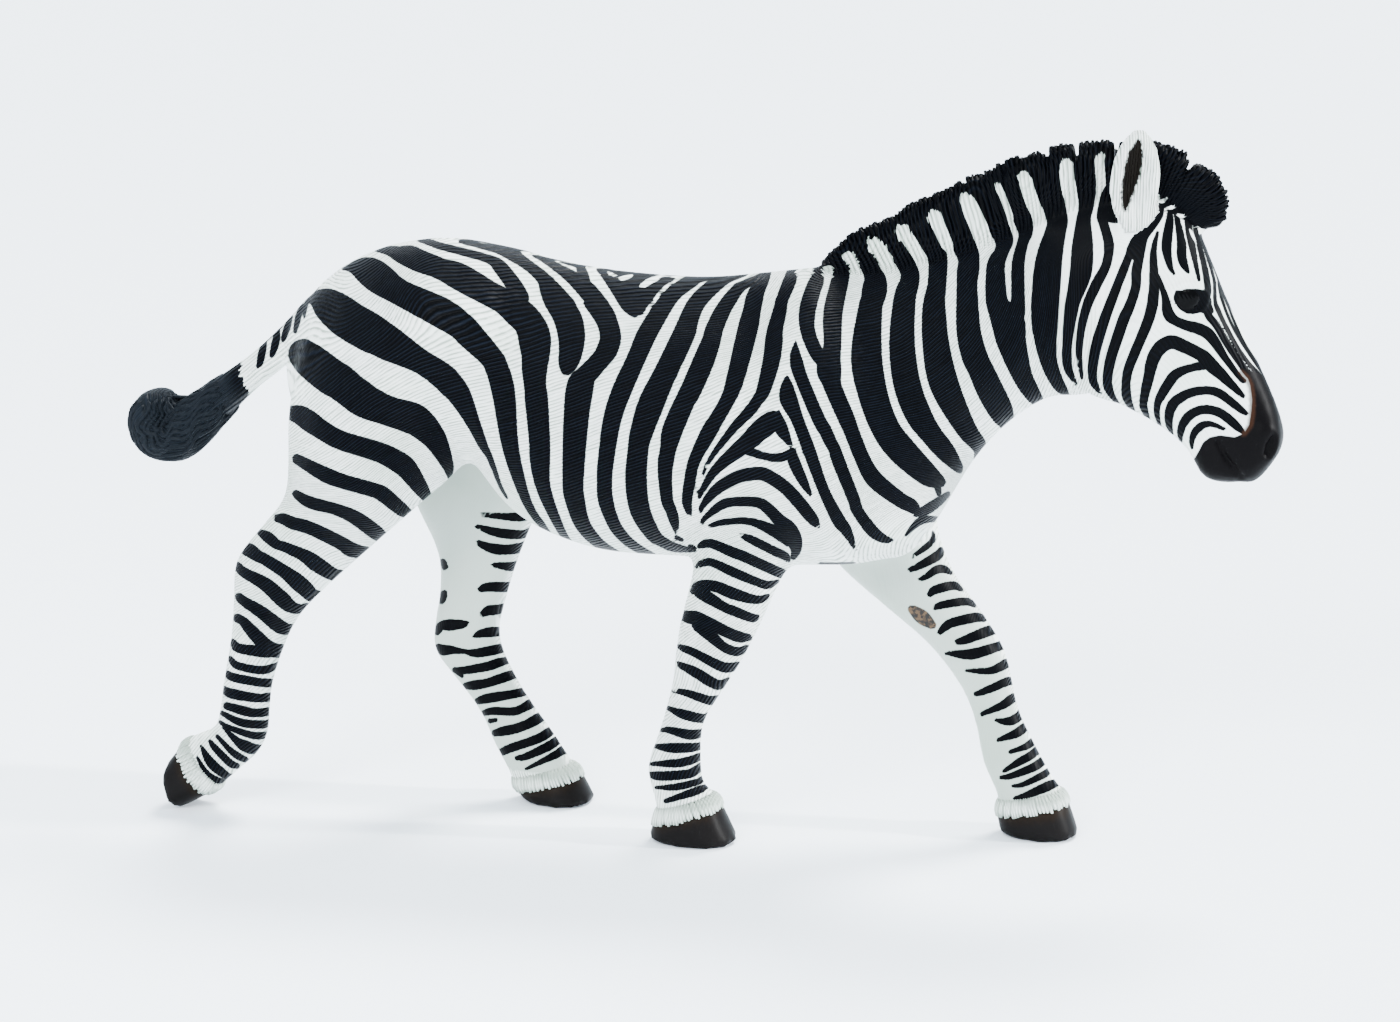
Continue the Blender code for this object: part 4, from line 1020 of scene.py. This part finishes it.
# One lock up the side of the mane, laid on the hide
def maneLock(hide, foot, tip, side, reach):
    sizes = maneSettings
    path = []
    y = side * sizes["halfWidth"]
    last = len(sizes["taper"]) - 1
    for k, radius in enumerate(sizes["taper"]):
        share = sizes["footShare"] + (reach - sizes["footShare"]) * k / last
        x, z = foot + (tip - foot) * share
        found = surfacePoint(hide, (x, side * sizes["searchHalfWidth"], z), (x, 0, z))
        if found is not None and abs(found.y) < 6.0:
            y = found.y - side * sizes["sunk"]
        elif k > 6:
            y *= 0.72
        path.append((x + chance.uniform(-0.12, 0.12), y, z, radius))
    return path


def manePaths(hide):
    sizes = maneSettings
    rows = smoothPath(maneRows, 12)
    steps = np.hypot(*np.diff(rows[:, 2:4], axis=0).T)
    travelled = np.concatenate([[0], np.cumsum(steps)])
    paths = []
    place = sizes["firstLock"]
    clump = 0.0
    left = 0
    while place < travelled[-1] - sizes["bareEnd"]:
        row = [np.interp(place, travelled, rows[:, k]) for k in range(4)]
        foot, tip = np.array(row[:2]), np.array(row[2:])
        if left == 0:
            clump = chance.uniform(-0.3, 0.9)
            left = chance.randint(2, 5)
        left -= 1
        pixelX = rowPixel(*tip)[0]
        notch = notchAt(pixelX)
        higher = np.interp(pixelX, *sizes["rise"])
        length = max(1.0, math.hypot(*(tip - foot)))
        for side in (-1, 1):
            reach = 1 + (higher + clump + chance.uniform(-0.25, 0.45) - notch) / length
            paths.append(maneLock(hide, foot, tip, side, reach))
        reach = 1 + (higher + clump + chance.uniform(-0.1, 0.5) - notch) / length
        ridge = []
        for k, (share, radius) in enumerate(sizes["ridge"]):
            x, z = foot + (tip - foot) * (share * reach if k else share)
            ridge.append((x, 0.0, z, radius))
        paths.append(ridge)
        place += sizes["pitch"] * chance.uniform(0.85, 1.15)
    return paths


# Firsts and lasts are the rows of the tail between which a strand runs, counted from each end
tailSettings = {
    "strands": 30,
    "thickness": 0.75,
    "firsts": (8, 9, 10, 12),
    "lasts": (1, 2, 4),
    "twist": 0.03,
    "sway": 0.12,
    "sunk": 0.2,
    "ends": (0.75, 0.5),
}


def tailPaths(hide):
    sizes = tailSettings
    rows = smoothPath(tailRows, 4)
    paths = []
    for strand in range(sizes["strands"]):
        turn = 2 * math.pi * (strand + chance.uniform(-0.2, 0.2)) / sizes["strands"]
        first = chance.choice(sizes["firsts"])
        last = len(rows) - chance.choice(sizes["lasts"])
        path = []
        for k in range(first, last):
            topX, topZ, lowX, lowZ = rows[k]
            middle = Vector(((topX + lowX) / 2, 0, (topZ + lowZ) / 2))
            half = math.hypot(topX - lowX, topZ - lowZ) / 2
            up = Vector((topX - lowX, 0, topZ - lowZ)).normalized()
            angle = turn + sizes["twist"] * (k - first) + sizes["sway"] * math.sin(k * 0.9 + strand)
            way = up * math.cos(angle) + Vector((0, 1, 0)) * math.sin(angle)
            found = surfacePoint(hide, middle + way * (half * 1.7 + 1.5), middle)
            place = found if found is not None else middle + way * half * 0.9
            share = sizes["ends"][0] if k == first else sizes["ends"][1] if k == last - 1 else 1.0
            path.append((*(place - way * sizes["sunk"]), share))
        paths.append(path)
    return paths


# A tuft's rows are a height over the coronet, a share of the thickness and how far it stands out
coronetSettings = {
    "tufts": 60,
    "thickness": 0.72,
    "rows": ((3.6, 0.4, -0.3), (2.6, 0.9, 0.0), (1.5, 1.1, 0.12), (0.4, 1.0, 0.22)),
    "tip": (0.45, 0.26),
    "drop": (-1.25, -0.45),
    "search": 16,
    "band": (1.2, 14),
}


def coronetPaths(hide):
    sizes = coronetSettings
    points, _ = arrays(hide)
    bandHalf, bandReach = sizes["band"]
    paths = []
    for side, (x0, z0, x1, z1) in hoofLines.values():
        middle = np.array([(x0 + x1) / 2, (z0 + z1) / 2])
        along = np.array([x1 - x0, z1 - z0]) / math.hypot(x1 - x0, z1 - z0)
        up = np.array([along[1], -along[0]])
        up = up if up[1] > 0 else -up
        away = points[:, [0, 2]] - middle
        ownSide = points[:, 1] * side > 0
        near = ownSide & (np.abs(away @ up) < bandHalf) & (np.abs(away @ along) < bandReach)
        middleY = (points[near, 1].min() + points[near, 1].max()) / 2
        for tuft in range(sizes["tufts"]):
            turn = 2 * math.pi * (tuft + chance.uniform(-0.3, 0.3)) / sizes["tufts"]
            drop = chance.uniform(*sizes["drop"])
            path = []
            for height, share, out in (*sizes["rows"], (drop, *sizes["tip"])):
                centre = middle + up * height
                way = np.array([along[0] * math.cos(turn), math.sin(turn), along[1] * math.cos(turn)])
                target = (centre[0], middleY, centre[1])
                found = surfacePoint(hide, np.array(target) + way * sizes["search"], target)
                if found is not None:
                    path.append((*(np.array(found) + way * out), share))
            if len(path) > 3:
                paths.append(path)
    return paths


carveHead(hide)
cutNotches(hide)
paint(hide)
print("hide painted")

maneLocks = makeLocks("maneLocks", manePaths(hide), maneSettings["thickness"])
# Painted shade darkens the furrows between the mane's locks
paint(maneLocks, hairDepth=0.5, wash=furrowShade(maneLocks))
tailLocks = makeLocks("tailLocks", tailPaths(hide), tailSettings["thickness"])
allBlack = {"inkA": 8, "inkB": 8, "inkC": 8}
paint(tailLocks, **allBlack, fringe=0, hairDepth=0.5)
coronetTufts = makeLocks("coronetTufts", coronetPaths(hide), coronetSettings["thickness"])
allWhite = {"inkA": -9, "inkB": -9, "inkC": -9, "hoof": noHoof}
# Painted shade darkens the furrows between the coronet's tufts
paint(coronetTufts, **allWhite, fringe=0, hairDepth=0.6, wash=furrowShade(coronetTufts, True))
for locks in (maneLocks, tailLocks, coronetTufts):
    print(locks.name, "made,", len(locks.data.polygons), "faces")

# The paint's colours, painted shade and painted sheen among them, and its patterns' measures
paintSettings = {
    "white": (0.83, 0.865, 0.82, 1),
    "shade": (0.69, 0.76, 0.68, 1),
    "groove": (0.19, 0.245, 0.195, 1),
    "black": (0.0006, 0.0007, 0.0010, 1),
    "sheen": (0.0030, 0.0044, 0.0076, 1),
    "tuftSheen": (0.0125, 0.0160, 0.0200, 1),
    "muzzle": (0.0020, 0.0017, 0.0019, 1),
    "rust": (0.022, 0.0092, 0.0052, 1),
    "hoof": (0.0052, 0.0046, 0.0045, 1),
    "hoofTop": (0.0090, 0.0062, 0.0044, 1),
    "earDark": (0.006, 0.005, 0.004, 1),
    "chestnut": (0.075, 0.042, 0.02, 1),
    "eye": (0.0006, 0.0006, 0.0007, 1),
    "hairPitch": 0.82,  # millimetres from one carved line to the next
    "hairRelief": 0.0009,
    "strandScale": (0.11, 1.3, 1.0),  # along the hair, across it and through the body
    "driftScale": (0.16, 0.22, 0.2),
    "sideScale": 900.0,  # metres across the body to nearly the hair's millimetres
    "patchScale": 42.0,
    "roughScale": 900.0,
    "grooveShare": 0.85,
    "washShare": 0.8,
    "rustShare": 0.85,
}


def newMaterial(name):
    made = bpy.data.materials.new(name)
    made.use_nodes = True
    return made, made.node_tree.nodes, made.node_tree.links


def addNode(nodes, kind, **settings):
    node = nodes.new(kind)
    for key, value in settings.items():
        setattr(node, key, value)
    return node


def feed(links, socket, value):
    if hasattr(value, "is_output"):
        links.new(value, socket)
    else:
        socket.default_value = value


def addMath(nodes, links, operation, first, second=0.0, third=0.0):
    node = addNode(nodes, "ShaderNodeMath", operation=operation)
    for socket, value in zip(node.inputs, (first, second, third)):
        feed(links, socket, value)
    return node.outputs[0]


def addLayer(nodes, name):
    return addNode(nodes, "ShaderNodeAttribute", attribute_name=name).outputs["Fac"]


def addStep(nodes, links, value, low, high):
    node = addNode(nodes, "ShaderNodeMapRange", interpolation_type="SMOOTHSTEP")
    feed(links, node.inputs["Value"], value)
    node.inputs["From Min"].default_value = low
    node.inputs["From Max"].default_value = high
    return node.outputs["Result"]


def addBlend(nodes, links, share, first, second):
    node = addNode(nodes, "ShaderNodeMix", data_type="RGBA")
    feed(links, node.inputs["Factor"], share)
    feed(links, node.inputs["A"], first)
    feed(links, node.inputs["B"], second)
    return node.outputs["Result"]


def addNoise(nodes, links, vector, scale, detail):
    node = addNode(nodes, "ShaderNodeTexNoise")
    feed(links, node.inputs["Vector"], vector)
    node.inputs["Scale"].default_value = scale
    node.inputs["Detail"].default_value = detail
    return node.outputs["Fac"]


def paintMaterial():
    material, nodes, links = newMaterial("paintedHide")
    shader = nodes["Principled BSDF"]
    calc = partial(addMath, nodes, links)
    step = partial(addStep, nodes, links)
    blend = partial(addBlend, nodes, links)
    noise = partial(addNoise, nodes, links)
    layer = partial(addLayer, nodes)
    look = paintSettings
    place = addNode(nodes, "ShaderNodeTexCoord").outputs["Object"]
    apart = addNode(nodes, "ShaderNodeSeparateXYZ")
    links.new(place, apart.inputs[0])
    across = layer("hairAcross")
    directions = (layer("hairAlong"), across, calc("MULTIPLY", apart.outputs["Y"], look["sideScale"]))

    # The carved hair: wandering lines with finer strands over them
    def stretched(scales):
        joined = addNode(nodes, "ShaderNodeCombineXYZ")
        for socket, direction, scale in zip(joined.inputs, directions, scales):
            feed(links, socket, calc("MULTIPLY", direction, scale))
        return joined.outputs[0]

    strands = noise(stretched(look["strandScale"]), 1.0, 2.5)
    wander = noise(stretched(look["driftScale"]), 1.0, 1.0)
    phase = calc("MULTIPLY", across, 2 * math.pi / look["hairPitch"])
    phase = calc("ADD", phase, calc("MULTIPLY", wander, 5.0))
    wave = calc("MULTIPLY_ADD", calc("SINE", phase), 0.22, 0.28)
    height = calc("ADD", wave, calc("MULTIPLY", strands, 0.5))
    ragged = calc("SUBTRACT", strands, 0.5)
    hoof = calc("MULTIPLY_ADD", ragged, 2.2, layer("hoof"))
    hoofShare = step(hoof, -0.05, 0.12)
    muzzleShare = step(layer("muzzle"), -0.7, 0.7)
    bare = calc("MAXIMUM", hoofShare, muzzleShare)
    depth = calc("MULTIPLY", layer("hairDepth"), calc("SUBTRACT", 1.0, bare))

    # The black, with an edge that is ragged most where locks of hair cross it
    reach = calc("MULTIPLY_ADD", layer("fringe"), 12.0, 1.3)
    ink = calc("MAXIMUM", calc("MAXIMUM", layer("inkA"), layer("inkB")), layer("inkC"))
    inkShare = step(calc("MULTIPLY_ADD", ragged, reach, ink), -0.45, 0.45)

    patches = noise(place, look["patchScale"], 3.0)
    white = blend(step(patches, 0.42, 0.75), look["white"], look["shade"])
    # Painted shade: the white is darkened in the grooves of the carved hair
    grooves = calc("MULTIPLY", step(height, 0.5, 0.26), depth)
    white = blend(calc("MULTIPLY", grooves, look["grooveShare"]), white, look["groove"])
    # Painted shade on the legs' inner sides and in the furrows between locks
    white = blend(calc("MULTIPLY", layer("wash"), look["washShare"]), white, look["groove"])
    # Painted sheen: the black is lighter and bluer on the crowns of the carved hair
    ridges = calc("MULTIPLY", step(height, 0.5, 0.82), depth)
    black = blend(ridges, look["black"], look["sheen"])
    # Painted sheen over the tail's tuft
    black = blend(layer("tuftSheen"), black, look["tuftSheen"])
    colour = blend(inkShare, white, black)

    rough = noise(place, look["roughScale"], 2.0)
    knob = blend(step(rough, 0.4, 0.62), look["earDark"], look["chestnut"])
    colour = blend(step(layer("chestnut"), -0.6, 0.6), colour, knob)
    earDepth = calc("ADD", layer("earDark"), -3.0)
    earShare = step(calc("MULTIPLY_ADD", rough, 6.0, earDepth), -1.2, 1.2)
    colour = blend(earShare, colour, look["earDark"])
    rustDepth = calc("ADD", layer("rust"), -1.0)
    rustShare = step(calc("MULTIPLY_ADD", rough, 2.0, rustDepth), -3.0, 0.8)
    colour = blend(muzzleShare, colour, look["muzzle"])
    colour = blend(calc("MULTIPLY", rustShare, look["rustShare"]), colour, look["rust"])
    warm = step(calc("MULTIPLY_ADD", patches, 5.0, hoof), 6.5, 3.0)
    colour = blend(hoofShare, colour, blend(warm, look["hoof"], look["hoofTop"]))
    eyeShare = step(layer("eyeBall"), -0.1, 0.1)
    colour = blend(eyeShare, colour, look["eye"])
    links.new(colour, shader.inputs["Base Color"])

    # The black reflects less than the white, and the eye is polished
    dark = calc("MAXIMUM", calc("MAXIMUM", inkShare, bare), earShare)
    gloss = calc("MULTIPLY_ADD", dark, -0.195, 0.22)
    gloss = calc("ADD", gloss, calc("MULTIPLY", eyeShare, 0.012))
    links.new(gloss, shader.inputs["Specular IOR Level"])
    dull = calc("MULTIPLY_ADD", dark, -0.08, 0.5)
    dull = calc("SUBTRACT", dull, calc("MULTIPLY", eyeShare, 0.36))
    links.new(dull, shader.inputs["Roughness"])
    bump = addNode(nodes, "ShaderNodeBump")
    bump.inputs["Distance"].default_value = look["hairRelief"]
    links.new(calc("MULTIPLY", depth, 0.8), bump.inputs["Strength"])
    links.new(height, bump.inputs["Height"])
    links.new(bump.outputs["Normal"], shader.inputs["Normal"])
    return material


paintedHide = paintMaterial()
for piece in (hide, maneLocks, tailLocks, coronetTufts):
    piece.data.materials.clear()
    piece.data.materials.append(paintedHide)
    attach(piece, "root")
selectOnly(hide)
bpy.ops.object.shade_smooth()
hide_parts("zebra")
print("pieces finished")

# A sun has a place, a strength and a spread in degrees; the panel a place, a target, watts and a size
stage = {
    "floorSize": 70.0,
    "floor": (0.90, 0.95, 1.0, 1),
    "floorRoughness": 0.7,
    "floorGloss": 0.2,
    "sky": (0.78, 0.89, 1.0, 1),
    "skyStrength": 2.35,
    "lampColour": (0.97, 0.99, 1.0),
    "suns": {
        "topLight": ((0.2, 0.75, 1.15), 8.2, 20),
        "sideLight": ((1.2, 0.1, 0.44), 9.0, 4),
    },
    "frontLight": ((-0.25, -1.3, 0.9), (0, 0, 0.08), 36, (0.6, 0.45)),
}


def makeStage():
    bpy.ops.object.select_all(action="DESELECT")
    bpy.ops.mesh.primitive_plane_add(size=stage["floorSize"], location=(0, 0, 0))
    floor = bpy.context.object
    floor.name = "studioFloor"
    material, nodes, _ = newMaterial("studioPaper")
    inputs = nodes["Principled BSDF"].inputs
    inputs["Base Color"].default_value = stage["floor"]
    inputs["Roughness"].default_value = stage["floorRoughness"]
    inputs["Specular IOR Level"].default_value = stage["floorGloss"]
    floor.data.materials.append(material)
    world = bpy.context.scene.world or bpy.data.worlds.new("studio")
    bpy.context.scene.world = world
    world.use_nodes = True
    background = world.node_tree.nodes["Background"]
    background.inputs["Color"].default_value = stage["sky"]
    background.inputs["Strength"].default_value = stage["skyStrength"]


def addLamp(name, kind, place, target, power):
    data = bpy.data.lights.new(name, kind)
    data.energy = power
    data.color = stage["lampColour"]
    lamp = bpy.data.objects.new(name, data)
    bpy.context.scene.collection.objects.link(lamp)
    lamp.location = place
    lamp.rotation_euler = (Vector(target) - Vector(place)).to_track_quat("-Z", "Y").to_euler()
    return data


makeStage()
for name, (place, strength, spread) in stage["suns"].items():
    addLamp(name, "SUN", place, (0, 0, 0), strength).angle = math.radians(spread)
place, target, watts, size = stage["frontLight"]
panel = addLamp("frontLight", "AREA", place, target, watts)
panel.shape = "RECTANGLE"
panel.size, panel.size_y = size

cameraData = bpy.data.cameras.new("photoCamera")
cameraData.lens = camera["lens"]
cameraData.sensor_width = camera["sensor"]
cameraObject = bpy.data.objects.new("photoCamera", cameraData)
bpy.context.scene.collection.objects.link(cameraObject)
cameraObject.matrix_world = Matrix((
    (rightAxis[0], upAxis[0], backAxis[0], eyePoint[0]),
    (rightAxis[1], upAxis[1], backAxis[1], eyePoint[1]),
    (rightAxis[2], upAxis[2], backAxis[2], eyePoint[2]),
    (0, 0, 0, 1),
))
bpy.context.scene.camera = cameraObject
print("stage and camera set")
